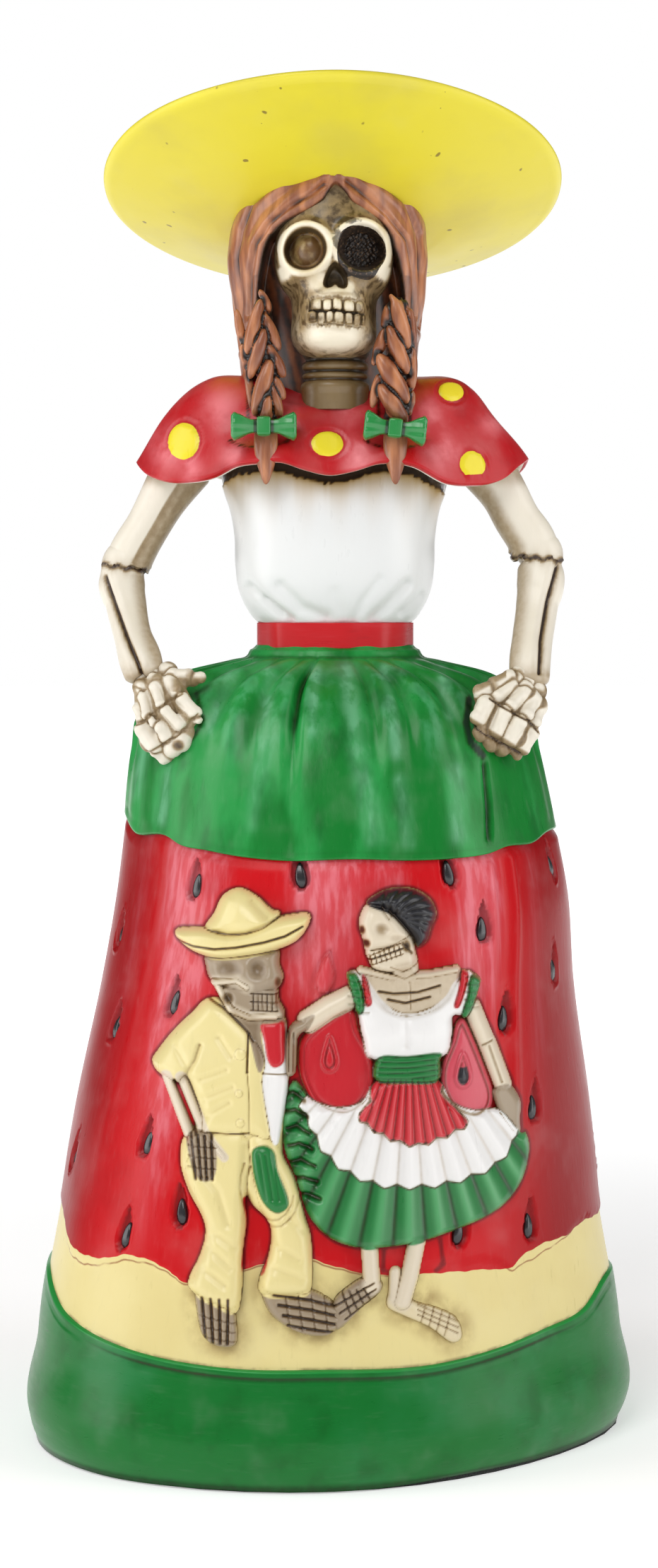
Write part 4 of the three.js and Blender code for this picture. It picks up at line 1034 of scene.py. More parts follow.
# The belt
# A flat red ribbon round the waist, cast with the dress and painted in thin acrylic. The
# overskirt's green edge shows under it.

WAIST_MIDDLE = 0.85
BELT_FOOT, BELT_TOP = 162.4, 167.7
mesh, turn, rise = barrel("belt", 180, 24)
tall = BELT_FOOT + (BELT_TOP - BELT_FOOT) * np.clip((rise - 0.15) / 0.7, 0, 1)
curl = np.clip(np.abs(rise - 0.5) / 0.15 - 7 / 3, 0, 1)
out = 0.35 * np.sqrt(np.clip(1 - curl**2, 0, 1)) - 1.6 * curl**4
out += 0.14 * np.sin(turn * 8 + 1.3) + 0.1 * np.sin(turn * 13)
width = 16.4 + 0.3 * np.cos(turn * 2) + out
move_points(mesh, rows(WAIST_MIDDLE + width * np.sin(turn), -(13.5 + out) * np.cos(turn), tall))
record(mesh, stain=0.25 * step(BELT_FOOT + 0.5 - tall, 0, 0.4), paint=pigment(194, 8, 20))
settle(mesh, hand_painted("belt_paint", coat=0.1, shine=0.3, mottle=0.3, streaks=(120, 120, 900),
                          tint=pigment(226, 120, 132)))

# The blouse
# White cloth over the ribs, plain in front and gathered in slanting tucks above the belt, with
# faint painted shade in the tucks. An uneven dark line in a shallow groove under the collar's hem
# is painted shadow, with a tan stain fading below it.

BLOUSE_SIZES = (
    (166.8, 14.8, 12.4), (167.8, 16.3, 13.4), (170.8, 18.7, 15.0), (173.8, 20.1, 16.1),
    (179.8, 21.1, 17.2), (185.8, 21.3, 17.6), (191.8, 22.35, 17.2), (194.8, 23.4, 16.6),
    (200, 24.5, 15.4), (206, 23, 13), (214, 12, 8),
)
COLLAR_HEM = (
    (-86, 201.6), (-69.6, 198.6), (-49.5, 197.3), (-36.6, 198.3), (-28.8, 200.5), (-23.4, 200.9),
    (-15.7, 201.2), (-8, 199.6), (-1, 198.6), (6, 199.4), (13.7, 200.9), (24, 200.4), (35.4, 197),
    (46.4, 196.7), (60.4, 198), (75, 201), (90, 202.4), (106, 199.6), (124, 202), (142, 199.2),
    (160, 202), (178, 199), (196, 202), (214, 199.2), (232, 202), (250, 199.6), (264, 201.8),
)
COLLAR_HALF_WIDTH = 41.3
TUCKS = (
    (((-17, 175), (-11.5, 170.2), (-8.5, 168.2)), 1.1, 0.9),
    (((-10.5, 175.2), (-6, 170.6), (-1, 168.6)), 1.3, 0.8),
    (((-14, 172.4), (-10.5, 169.2)), 0.7, 0.6), (((10.2, 176.6), (6.4, 171.6), (4.8, 168)), 1.0, 0.5),
    (((16, 175.6), (11.4, 170.8), (8.8, 168.4)), 1.1, 0.95), (((19, 173.4), (15, 169.6)), 0.8, 0.6),
    (((1, 174), (2.4, 170), (2.8, 168)), 1.2, 0.35),
)
mesh, turn, rise = barrel("blouse", 220, 84)
angle = turn - 0.2 * np.sin(turn)
tall = 166.8 + 47.2 * rise
width, depth = smooth_through(BLOUSE_SIZES, tall)
x = WAIST_MIDDLE + width * np.sign(np.sin(angle)) * np.abs(np.sin(angle)) ** 0.92
y = -depth * np.cos(angle)
move_points(mesh, rows(x, y, tall))
front = y < 2
out = -sum(deep * bell(from_line(tuck, x, tall), wide) for tuck, wide, deep in TUCKS) * front
out -= 0.6 * bell(tall - 168.2, 1) * (0.5 + 0.5 * np.sin(turn * 26)) * ~front
out -= 0.45 * np.clip(np.sin(turn * 17), 0, 1) * step(176 - tall, 0, 7) * ~front
under = around(COLLAR_HEM, np.degrees(np.arcsin(x / COLLAR_HALF_WIDTH))) - 0.9 - tall
# Painted shadow of the collar: an uneven dark line just under its hem.
bead = 0.5 + 0.3 * np.sin(x * 1.9 + np.sin(x * 0.7) * 3) + 0.2 * np.sin(x * 4.3)
edge = 0.7 + 0.5 * bead
stain = (0.85 + 0.3 * bead) * (1 - step(under, edge, edge + 0.4)) * (y < -2)
# Faint painted shade in the tucks.
stain = np.maximum(stain, 0.08 * np.clip(-out, 0, 1))
tan = bell(np.clip(under - edge, 0, 30), 3.0 + 0.8 * np.sin(x * 0.9) + 0.08 * np.abs(x), 1.3) * (y < -2)
out -= 0.5 * (under < edge) * front
push(mesh, out)
cloth, rubbed = pigment(226, 227, 226), pigment(172, 140, 80)
record(mesh, stain=stain, paint=cloth + (rubbed - cloth) * tan[:, None])
settle(mesh, hand_painted("blouse_paint", mottle=0.0, wash=pigment(40, 24, 12)))

# The collar
# A short red cape over the shoulders, cast as one thick flounce with a scalloped hem, a white
# lining that shows along its edge, and raised yellow dots.

SHOULDER_HEIGHT = 220.3
COLLAR_RINGS = (
    (0.0, 1.0, 6.0), (0.3, 0.3, 7.5), (0.53, 0.9, 8.9), (0.69, 4.2, 12.0), (0.84, 10.1, 15.5),
    (1.0, 19.9, 19.9),
)
NECKLINE_RADIUS, COLLAR_HALF_DEPTH, COLLAR_THICKNESS = 8.6, 21.5, 1.8
DOTS = (
    (-30.7, -1, 205.6, 3.3, 3.9), (-0.7, -1, 204.6, 3.3, 2.6), (25.3, -1, 216.2, 2.7, 2.1),
    (29.5, -1, 200.6, 2.8, 2.8), (-27, 1, 206, 3, 3), (-9, 1, 204, 3, 2.8), (11, 1, 207.5, 3, 2.8),
    (28, 1, 204.6, 3, 3.2), (-20, 1, 215.6, 2.4, 2.2), (19, 1, 216, 2.4, 2.2),
)
# Painted highlights on the cape: x, z and size.
CAPE_HIGHLIGHTS = (
    (-34.5, 204.3, 3.4), (-22.9, 212.5, 3.8), (-20, 203, 2.6), (-9, 210, 2.6), (3.8, 212.3, 2.8),
    (5.4, 202, 3.2), (20, 210.5, 3.2), (23.5, 203.2, 3.4), (33.9, 210.1, 2.6), (-29, 199.6, 2.2),
)
BOW_PLACES = ((-14.6, 206.4, -13.9), (13.6, 206.2, 13.2))


def oval(x, z, middle_x, middle_z, half_width, half_height, power=4):
    """1 in the middle of an oval, falling to 0 past its edge."""
    return bell(np.hypot((x - middle_x) / half_width, (z - middle_z) / half_height), 1, power)


mesh, turn, rise = barrel("collar", 340, 96)
lining = np.clip(1 - rise / 0.14, 0, 1)
bend = np.clip((rise - 0.14) / 0.1, 0, 1) * math.pi
reach = np.where(rise < 0.24, 1 - 0.35 * lining, 1 - np.clip((rise - 0.24) / 0.74, 0, 1))
inset = COLLAR_THICKNESS * (0.5 + 0.5 * np.cos(bend)) + 3.4 * lining
side_drop, front_drop = smooth_through(COLLAR_RINGS, reach)
drop = front_drop + (side_drop - front_drop) * np.sin(turn) ** 2
drop += (SHOULDER_HEIGHT - around(COLLAR_HEM, np.degrees(turn)) - 19.9) * reach**5
flare = 0.8 * np.cos(turn * 8 - 0.3) * reach**4
tuck = 3 * step(rise, 0.975, 1.0)
across = NECKLINE_RADIUS + (COLLAR_HALF_WIDTH - NECKLINE_RADIUS) * reach - inset + flare * 0.5 - tuck
deep = NECKLINE_RADIUS + (COLLAR_HALF_DEPTH - NECKLINE_RADIUS) * reach - inset - flare - tuck
z = SHOULDER_HEIGHT - drop - 0.35 * np.sin(bend) - inset * 0.25
x = 0.4 + across * np.sin(turn)
x -= 1.9 * step(x, 15, 28) * bell(z - 211.5, 5.5)
y = -deep * np.cos(turn)
z = z - tuck
front = y < 0
move_points(mesh, rows(x, y, z))
dot = np.full(len(turn), 9.0)
for dot_x, facing, dot_z, half_width, half_height in DOTS:
    far = (np.hypot((x - dot_x) / half_width, (z - dot_z) / half_height) - 1) * min(half_width, half_height)
    dot = np.minimum(dot, np.where((y * facing > 0) & (rise > 0.25), far, 9.0))
out = 0.35 * (1 - step(dot, -0.3, 0.0)) - 0.25 * bell(dot - 0.25, 0.2)
out += 0.12 * bell(dot - 1.0, 0.25) + 0.2 * np.sin(turn * 7 + 1) * np.sin(reach * 5)
shade = 0 * turn
for bow_x, bow_z, braid_x in BOW_PLACES:
    out -= 0.9 * oval(x, z, bow_x, 207.5, 7.5, 3.2) * front
    # Painted shadow on the cape under each bow and beside each braid.
    far = np.hypot((x - bow_x) / 6.4, (z - bow_z) / 2.5)
    blobs = 0.75 + 0.35 * np.sin(x * 2.7 + 1) + 0.2 * np.sin(x * 5.9)
    shade = np.maximum(shade, blobs * bell(far - 1, 0.11) * (z < bow_z - 0.6) * front)
    beside = bell(np.abs(x - braid_x) - 3.3, 0.4) * (z > 209) * (reach < 0.8)
    shade = np.maximum(shade, 0.9 * beside * front)
lit = sum(oval(x, z, lit_x, lit_z, size, size / 0.8, 2) for lit_x, lit_z, size in CAPE_HIGHLIGHTS) * front
push(mesh, out * step(rise, 0.2, 0.27))
record(mesh, stain=shade, dot=dot, lit=np.clip(lit, 0, 1), hem=rise)


def cape_paint(finish):
    """Red with painted pink highlights, yellow dots and a white lining."""
    ragged = (finish.noise(500) - 0.5) * 0.25
    brushed = finish.noise(160, 4.0).between(0.35, 0.65) * 0.7 + 0.3
    red = finish.coats(
        pigment(184, 12, 22),
        (pigment(236, 132, 140), finish.layer("lit") * brushed * 0.8),
        (pigment(150, 4, 14), finish.noise(85, 3.0).between(0.5, 0.75) * 0.6),
    )
    red = finish.mix(pigment(232, 214, 44), red, (finish.layer("dot") + ragged).between(-0.06, 0.06))
    return finish.mix(pigment(226, 218, 206), red, (finish.layer("hem") + ragged * 0.03).between(0.185, 0.19))


settle(mesh, hand_painted("cape_paint", coat=0.15, shine=0.3, paint=cape_paint, wash=pigment(26, 14, 10)))

# The arms
# Bare bones: a thick upper arm, then two bones side by side with a black-washed groove between
# them, and a dark line at the elbow. Painted shade, in the wash's brown, darkens the sides that
# face the body, the upper arm along its ridge and under the collar, and the bone round the elbow.

IVORY = pigment(232, 224, 208)
BONE_WASH = pigment(58, 38, 24)
LEFT_ARM = (
    ((0, -42.4, -3.6, 176.4, 3.6, 3.8), (0.06, -43.3, -3.2, 178.6, 4.8, 4.6),
     (0.2, -42.2, -2.9, 181.8, 4.9, 4.7), (0.5, -38.4, -2.2, 188.6, 4.7, 4.6),
     (0.75, -35.2, -1.4, 194.4, 5.2, 5.0), (1, -30.5, -0.6, 202, 6.6, 5.4)),
    ((0, -38.2, -17.4, 156.2, 4.0, 3.0), (0.12, -39.2, -15.6, 159.4, 4.4, 3.2),
     (0.4, -41.3, -10.8, 165.2, 3.9, 3.4), (0.7, -42.8, -6.4, 171.4, 4.1, 3.8),
     (0.94, -43.8, -3.9, 177.6, 4.5, 4.4), (1, -43.4, -3.4, 180.4, 3.9, 3.9)),
)
RIGHT_ARM = (
    ((0, 42.6, -3.8, 178.4, 3.4, 3.8), (0.06, 43.6, -3.3, 180.6, 5.0, 4.6),
     (0.2, 42.8, -2.9, 184, 5.1, 4.8), (0.5, 39.2, -2.2, 190, 4.9, 4.7),
     (0.75, 36.4, -1.4, 195.4, 5.1, 5.0), (1, 31.5, -0.6, 202.4, 6.2, 5.4)),
    ((0, 40.9, -17.6, 154.6, 3.9, 3.0), (0.12, 41.0, -15.8, 158.4, 4.1, 3.2),
     (0.4, 42.0, -11, 164.6, 4.15, 3.5), (0.7, 43.2, -6.6, 171.2, 4.3, 3.9),
     (0.94, 44.0, -4.1, 178.4, 4.7, 4.5), (1, 43.5, -3.5, 181.8, 4.1, 4.0)),
)
ARM_GROOVES = (((-47.4, 177.4), (-45.4, 172), (-42.4, 165), (-39.6, 159.2), (-38.6, 156)),
               ((47.6, 179.6), (45.3, 172), (43.6, 164.2), (43, 157.4)))
ARM_RIDGES = (((-32.1, 197), (-36.6, 189.4), (-41.5, 180.8)), ((31, 198), (34.6, 192), (39.6, 182)))

# How many columns round and rows up the bones have.
UPPER_MESH, FORE_MESH = (72, 90), (72, 110)


def tube(name, columns, rows_up, line):
    """A closed limb through stations of (share, x, y, z, half width, half depth), from below."""
    mesh, turn, rise = barrel(name, columns, rows_up)
    *middle, half_width, half_depth = smooth_through(line, rise)
    behind, ahead = (smooth_through(line, np.clip(rise + step_on, 0, 1))[:3] for step_on in (-0.02, 0.02))
    along = (ahead - behind).T
    along /= np.linalg.norm(along, axis=1)[:, None]
    side = np.cross(along, (0, -1, 0))
    side /= np.linalg.norm(side, axis=1)[:, None]
    closing = np.sqrt(np.clip(1 - np.clip(np.abs(rise - 0.5) * 2 * 12 - 11, 0, 1) ** 2, 0.02, 1))
    spots = np.array(middle).T + side * (half_width * closing * np.sin(turn))[:, None]
    move_points(mesh, spots + np.cross(side, along) * (half_depth * closing * np.cos(turn))[:, None])
    return mesh


def most(*layers):
    """The greatest of several layers at each point."""
    return np.maximum.reduce(layers)


def merged(name, meshes):
    """One mesh of several, in their order."""
    bm = bmesh.new()
    for part in meshes:
        bm.from_mesh(part)
        bpy.data.meshes.remove(part)
    return mesh_of(bm, name)


bone_paint = hand_painted("bone_paint", gloss=0.4, mottle=0.06, wash=BONE_WASH)
for name, (upper, fore), split_line, ridge, elbow_height, shade in (
    ("left_arm", LEFT_ARM, ARM_GROOVES[0], ARM_RIDGES[0], 179.2, 0.56),
    ("right_arm", RIGHT_ARM, ARM_GROOVES[1], ARM_RIDGES[1], 181.2, 0.5),
):
    side = -1 if name == "left_arm" else 1
    mesh = merged(name, [tube("upper_arm", *UPPER_MESH, upper), tube("forearm", *FORE_MESH, fore)])
    x, y, z = points_of(mesh).T
    is_fore = np.arange(len(x)) >= UPPER_MESH[0] * (UPPER_MESH[1] + 1)
    by_height = np.array(sorted((station[3], station[2]) for station in fore))
    front = is_fore * (y < smooth_through(by_height, z)[0] + 1.5)
    split = from_line(split_line, x, z)
    push(mesh, (0.35 * bell(split - 1.6, 1.1) - 1.1 * bell(split, 0.42)) * front)
    bead = 0.5 + 0.5 * np.sin(x * 4.2) * np.sin(x * 1.7 + 1)
    elbow = np.abs(z - elbow_height + (np.abs(x) - 43.5) * 0.12 * side + 0.3 * np.sin(x * 2.3))
    push(mesh, 0.7 * bell(elbow, 0.7) * step(bead, 0.45, 0.8) * (y < 1))
    middle_line = [(station[3], abs(station[1])) for station in (*fore[:5], *upper[1:])]
    # Painted shade on the sides of the bones that face the body.
    facing_body = step(np.interp(z, *zip(*middle_line)) - np.abs(x), 0.2, 4.0)
    ridge_x, ridge_z = zip(*reversed(ridge))
    past = x - np.interp(z, ridge_z, ridge_x)
    # Painted shade along and past the upper arm's ridge, on its inner face.
    if name == "left_arm":
        past_ridge = (0.42 + 0.2 * np.exp(-past / 1.6)) * step(past, -0.3, 0.2) * (y < 2)
        past_ridge = most(past_ridge, 0.55 * bell(past, 0.3) * (z > 180) * (z < 197) * (y < 0))
    else:
        past_ridge = 0.42 * bell(past, 0.8) * (y < 0)
    stain = most(
        1.25 * bell(split, 0.46) * front,
        0.5 * np.exp(-split / 0.9) * front,
        (0.8 + 0.3 * bead) * bell(elbow, 0.75),
        # Painted shade round the elbow line.
        0.4 * np.exp(-elbow / 1.8),
        shade * facing_body * np.where(is_fore, 0.85, 1.0),
        past_ridge * ~is_fore,
        0.42 * np.exp(-np.clip(z - 157, 0, 30) / 3.0) * is_fore,
        # Painted shade at the top of the upper arm, under the collar.
        0.4 * step(z, 194.5, 199),
    )
    record(mesh, stain=stain, paint=IVORY)
    settle(mesh, bone_paint)

# The hands
# Each hand gathers up a fold of the overskirt. Finger bones lie side by side, jointed by incised
# lines, and the brown wash has pooled between them.

LEFT_HAND = (
    ((-38.5, 158.2), (-38.4, 157.6), 0.6), ((-36.9, 158.2), (-36.6, 157.8), 0.85),
    ((-34.4, 158.4), (-33.4, 158.0), 0.95), ((-39.4, 156.9), (-39.1, 156.0), 0.95),
    ((-36.7, 156.6), (-36.4, 155.8), 0.85), ((-39.2, 154.9), (-38.8, 154.2), 0.95),
    ((-38.5, 152.8), (-37.6, 148.9), 1.0), ((-36.0, 154.6), (-34.8, 151.2), 0.95),
    ((-33.0, 156.0), (-31.6, 153.8), 1.2), ((-39.9, 150.2), (-38.9, 148.0), 0.9),
    ((-38.7, 146.1), (-36.0, 142.6), 1.5), ((-37.0, 148.4), (-36.2, 147.2), 0.75),
    ((-34.8, 146.4), (-33.6, 144.4), 1.15), ((-33.7, 149.9), (-30.9, 147.0), 1.1),
    ((-30.3, 152.3), (-27.6, 149.4), 1.25), ((-36.0, 141.4), (-34.2, 139.9), 1.1),
    ((-32.7, 143.4), (-32.4, 143.0), 0.7), ((-27.4, 148.4), (-27.0, 148.0), 0.8),
    ((-32.4, 157.0), (-29.2, 156.8), 1.4), ((-29.2, 156.7), (-26.8, 156.5), 1.1),
    ((-32.2, 142.2), (-30.4, 143.4), 1.8),
)
LEFT_HAND_BACK = (
    ((-38.0, 157.4), (-33.6, 157.6), 2.2), ((-38.6, 154.4), (-38.0, 146.0), 2.4),
    ((-35.6, 154.8), (-33.2, 145.0), 2.6), ((-32.4, 155.0), (-29.0, 148.8), 2.4),
    ((-36.8, 143.6), (-33.4, 141.6), 2.6), ((-31.4, 143.4), (-29.6, 145.0), 2.3),
    ((-32.0, 155.4), (-28.4, 156.1), 1.6), ((-33.0, 142.4), (-30.6, 143.4), 2.5),
)
LEFT_JOINTS = (
    ((-41, 154.8), (-38.3, 153.9)),
    ((-40, 146.9), (-38.1, 147.5), (-35.6, 150), (-32.75, 151.95), (-30.3, 153.4)),
    ((-36.9, 141.3), (-34.4, 142.8), (-31.8, 144.5), (-29.4, 146.4), (-27, 149.1)),
)
RIGHT_JOINTS = (
    ((32.5, 152.4), (34.4, 151.0), (37.05, 149.5), (40.2, 147.9), (42.6, 145.4)),
    ((28.6, 146.9), (32.0, 144.7), (35.8, 142.5), (38.7, 140.9)),
)
RIGHT_HAND = (
    ((38.6, 157.8), (39.3, 157.3), 0.95), ((37.8, 156.6), (38.2, 156.2), 1.05),
    ((40.6, 156.1), (41.0, 155.7), 0.95), ((39.8, 154.9), (40.3, 154.5), 1.05),
    ((42.4, 154.6), (42.8, 154.1), 1.05), ((37.2, 155.5), (34.3, 152.9), 1.05),
    ((39.7, 153.7), (36.9, 151.0), 1.15), ((41.8, 152.3), (40.2, 149.1), 1.25),
    ((43.5, 150.8), (42.0, 147.4), 1.15), ((31.6, 151.4), (30.0, 148.4), 1.5),
    ((35.6, 149.6), (33.8, 145.5), 1.35), ((38.6, 147.5), (36.3, 143.9), 1.45),
    ((41.5, 145.1), (39.4, 142.0), 1.3), ((30.2, 145.4), (30.6, 144.8), 1.3),
    ((32.4, 143.4), (32.8, 142.8), 1.35), ((35.0, 142.4), (35.3, 141.9), 1.2),
    ((38.0, 140.8), (38.2, 140.5), 0.9), ((30.4, 153.8), (33.2, 155.0), 1.3),
    ((33.4, 155.1), (36.8, 156.4), 1.55),
)
RIGHT_HAND_BACK = (
    ((38.6, 156.6), (42.4, 153.6), 2.3), ((36.6, 154.4), (31.6, 149.8), 2.5),
    ((40.0, 152.6), (34.6, 146.6), 2.7), ((42.2, 150.6), (38.2, 144.0), 2.6),
    ((30.8, 147.4), (31.8, 143.8), 2.3), ((33.0, 145.0), (35.0, 142.6), 2.4),
    ((35.6, 143.0), (38.6, 142.4), 2.3), ((31.0, 152.6), (35.4, 155.0), 1.8),
)
THUMB_TIP = (-31.1, 142.8, 1.3, 1.2)


def rods(bm, line):
    """Rounded rods through stations of (x, y, z, radius)."""
    for start, end in zip(line, line[1:]):
        a, b = np.array(start[:3]), np.array(end[:3])
        along = (b - a) / np.linalg.norm(b - a)
        inset = along * min(start[3], end[3]) * 0.12
        place = Matrix.Translation((a + b) / 2) @ Vector(b - a).to_track_quat("Z", "Y").to_matrix().to_4x4()
        bmesh.ops.create_cone(bm, cap_ends=True, segments=20, radius1=start[3] * 0.86, radius2=end[3] * 0.86,
                              depth=float(np.linalg.norm(b - a - 2 * inset)), matrix=place)
    for station in line:
        bmesh.ops.create_uvsphere(bm, u_segments=20, v_segments=12, radius=station[3],
                                  matrix=Matrix.Translation(station[:3]))


def fused(name, bm, cell=0.3):
    """The modelled lumps as one skin, softened where they meet."""
    rough = mesh_of(bm, name)
    lump = placed(name, rough)
    skin = lump.modifiers.new("skin", "REMESH")
    skin.mode = "VOXEL"
    skin.voxel_size = cell
    mesh = bpy.data.meshes.new_from_object(lump.evaluated_get(bpy.context.evaluated_depsgraph_get()))
    bpy.data.objects.remove(lump)
    bpy.data.meshes.remove(rough)
    mesh.name = name
    move_points(mesh, relaxed(points_of(mesh), links_of(mesh), 1))
    return mesh


def hand_depth(x, z, bend_from):
    """The depth of the back of a hand, which arches over the gathered cloth."""
    bulge = np.clip(z - 148, 0, None) ** 2 * 0.06 + np.clip(148 - z, 0, None) ** 2 * 0.05
    return -24.4 + bulge + np.clip(np.abs(x) - bend_from, 0, None) ** 2 * 0.12


def from_bone(spots, start, end):
    """How far each point is from the middle line of a bone."""
    along = end - start
    t = np.clip((spots - start) @ along / max(along @ along, 1e-6), 0, 1)
    return np.linalg.norm(spots - start - t[:, None] * along, axis=1)


for name, bones, backing, joints, bend_from, dark, joint_dark in (
    ("left_hand", LEFT_HAND, LEFT_HAND_BACK, LEFT_JOINTS, 34, 0.52, 0.7),
    ("right_hand", RIGHT_HAND, RIGHT_HAND_BACK, RIGHT_JOINTS, 37, 0.64, 0.95),
):
    bm = bmesh.new()
    ends = []
    for *line, radius in bones:
        radius *= 1.12
        start, end = (np.array((x, hand_depth(x, z, bend_from), z)) for x, z in line)
        ends.append((start, end, radius))
        rods(bm, ((*start, radius), (*end, radius * 1.06)))
    for *line, radius in backing:
        rods(bm, [(x, hand_depth(x, z, bend_from) + radius * 0.72, z, radius) for x, z in line])
    mesh = fused(name, bm)
    spots = points_of(mesh)
    x, y, z = spots.T
    nearest_bone, next_bone = np.sort([from_bone(spots, a, b) - radius for a, b, radius in ends], axis=0)[:2]
    cleft = bell(next_bone - nearest_bone, 0.35) * (next_bone < 0.9)
    joint = bell(np.min([from_line(line, x, z) for line in joints], axis=0), 0.3) * (y < -18)
    push(mesh, -0.25 * cleft - 0.35 * joint)
    stain = most(dark * step(nearest_bone, 0.0, 0.42), 0.7 * cleft, joint_dark * joint)
    if name == "right_hand":
        palm = 0.62 * step(143.9 - z + (36.8 - x) * 0.62, 0, 1.0)
        stain = most(stain, palm, 0.55 * step(z - 153.6 - (x - 31) * 0.5, 0, 1) * (x < 36))
    else:
        tip = oval(x, z, *THUMB_TIP)
        worn = np.where((x > -34) & (z < 145.6), 0.85, 1) * np.where(nearest_bone > 0.3, 0.58, 1.0)
        stain = np.minimum(most(stain, 0.85 * tip), worn + tip)
        # Painted shade on the lower side of the thumb.
        stain = most(stain, 0.6 * step(x, -34, -31) * step(157.4 - z, 0, 1.5) * (z > 153.6))
    record(mesh, stain=stain, paint=IVORY)
    settle(mesh, bone_paint)

# The skull
# A plain modelled skull: white-rimmed sockets, one with a ball painted in it and one blacked in
# down to the nose, two rows of square teeth, and brown wash in the hollows of the cheeks.

FACE_FORM = (
    (222.6, 0.6, 4.4, 17.5), (223.6, 0.6, 6.6, 20.6), (225.0, 0.6, 8.0, 22.2), (227.0, 0.6, 8.8, 22.9),
    (229.5, 0.6, 9.2, 23.5), (232.0, 0.6, 9.3, 23.9), (235.0, 0.6, 9.6, 23.5), (237.5, 0.6, 10.8, 23.0),
    (240.0, 0.6, 12.0, 22.6), (243.0, 0.6, 12.5, 22.4), (246.0, 0.6, 12.4, 22.6),
    (249.0, 0.6, 12.0, 23.2), (251.0, 0.6, 11.6, 23.0), (254.0, 0.6, 11.2, 22.2),
    (258.0, 0.6, 10.4, 21.4), (263.0, 0.6, 9.0, 20.0),
)
SOCKETS = ((-5.2, 244.3, 4.3, 4.3), (6.4, 244.6, 4.7, 4.5))
NOSE = ((1.0, 241.6), (-0.2, 240.8), (-1.2, 238.8), (-1.6, 236.9), (-0.9, 236.0), (0.2, 236.2), (0.9, 236.7),
        (1.6, 236.1), (2.8, 235.9), (3.5, 236.7), (3.4, 238.4), (2.4, 240.2))
SPILL = ((1.5, 245.4), (2.2, 247.5), (4.0, 248.7), (6.4, 249.0), (8.8, 248.4), (10.7, 246.6), (11.3, 244.5),
         (11.0, 242.4), (9.8, 240.4), (8.7, 238.5), (7.1, 237.9), (5.4, 238.2), (4.2, 238.6), (3.0, 238.4),
         (2.0, 239.9), (1.5, 241.2), (1.3, 243.0))
UPPER_TEETH, LOWER_TEETH = (1.45, 2.2), (1.7, 1.84)

# What stands out (in mm) or lies under it: x, z, half width, half height, how square, how far.
FACE_LUMPS = (
    (1.0, 243, 1.5, 2.6, 2, 1.1), (1.0, 236.4, 4.5, 2.4, 2, 0.7), (1.1, 231.2, 7.4, 4.8, 4, 1.6),
    (0.9, 225.6, 5.0, 2.2, 4, 0.9), (1.0, 228.0, 5.5, 0.9, 2, -0.7), (-8.0, 232.6, 2.0, 4.6, 4, -2.4),
    (-9.12, 238.2, 3.2, 1.7, 2, 1.3), (-8.16, 227, 1.6, 2.0, 2, 0.8), (9.2, 232.6, 2.2, 4.6, 4, -2.4),
    (10.488, 238.2, 3.2, 1.7, 2, 1.3), (9.384, 227, 1.6, 2.0, 2, 0.8),
)
RUBBED_PALE = (
    (0.6, 226.4, 7.0, 3.4, 4, 1.0), (1.2, 232.8, 5.0, 4.4, 4, 0.86), (-9.6, 239.8, 2.0, 1.7, 4, 1.0),
    (11.0, 240.0, 2.0, 1.8, 4, 1.0), (-7.7, 228.6, 2.0, 3.6, 4, 0.35), (8.4, 228.4, 1.5, 3.0, 4, 0.3),
    (-0.8, 242.0, 0.9, 2.4, 4, 0.8), (-2.6, 237.6, 2.4, 2.4, 4, 0.8), (3.6, 236.0, 1.4, 2.0, 4, 0.8),
)
DARK_HOLLOWS = ((9.4, 233.0, 2.5, 5.6, 3, 0.8), (-6.6, 235.0, 1.5, 3.2, 3, 0.52),
                (-8.6, 232.0, 1.5, 4.8, 3, 0.74), (1.2, 234.8, 6.6, 0.5, 4, 0.35))


def hollows(mesh, passes):
    """How far each point lies below the surface round it, in mm: where wash collects."""
    spots = points_of(mesh)
    return ((relaxed(spots, links_of(mesh), passes) - spots) * normals_of(mesh)).sum(axis=1)


def ovals(x, z, table):
    """Each oval of a table of (x, z, half width, half height, power, strength)."""
    return [strength * oval(x, z, *form) for *form, strength in table]


mesh, turn, rise = barrel("skull", 290, 190)
angle = turn - 0.5 * np.sin(turn)
z = 222.6 + 40.4 * rise
middle, half_width, depth = smooth_through(FACE_FORM, z)
x = middle + half_width * np.sign(np.sin(angle)) * np.abs(np.sin(angle)) ** 0.82
ahead = np.cos(angle)
y = np.where(ahead > 0, -8 - (depth - 8) * np.abs(ahead) ** 0.8, -8 - 6 * ahead)
from_socket = [np.hypot((x - sx) / rx, (z - sz) / rz) for sx, sz, rx, rz in SOCKETS]
ball = np.hypot(x + 5.0, z - 244.1) / 3.75
nose = inward(NOSE, x, z)
lift = sum(1.5 * bell(far - 1.18, 0.24) - 4.6 * step(1.06 - far, 0, 0.34) for far in from_socket)
lift += 3.0 * np.sqrt(np.clip(1 - ball**2, 0, 1)) - 3.2 * step(nose, -0.15, 0.9)
lift += 0.35 * np.sin(x * 5.1 + np.sin(z * 3.3)) * np.sin(z * 4.7 + x) * (np.hypot(x - 6.4, z - 244.6) < 4.2)
lift += sum(ovals(x, z, FACE_LUMPS))
bite = 231.25 - 0.05 * (x - 1.2) - 0.008 * (x - 1.2) ** 2 + 0.12 * np.sin(x * 1.3)
row_upper = np.abs(z - (bite + 1.22 + 0.1 * np.sin(x * 2.1)))
row_lower = np.abs(z - (bite - 1.18 + 0.12 * np.sin(x * 1.7 + 2)))
phase = ((x - UPPER_TEETH[0] + 0.15 * np.sin(x * 0.9)) / UPPER_TEETH[1] + 0.5) % 1 - 0.5
shift = ((x - LOWER_TEETH[0] + 0.18 * np.sin(x * 1.1 + 1)) / LOWER_TEETH[1] + 0.5) % 1 - 0.5
in_mouth = step(5.9 - np.abs(x - 1.2), 0, 0.5)
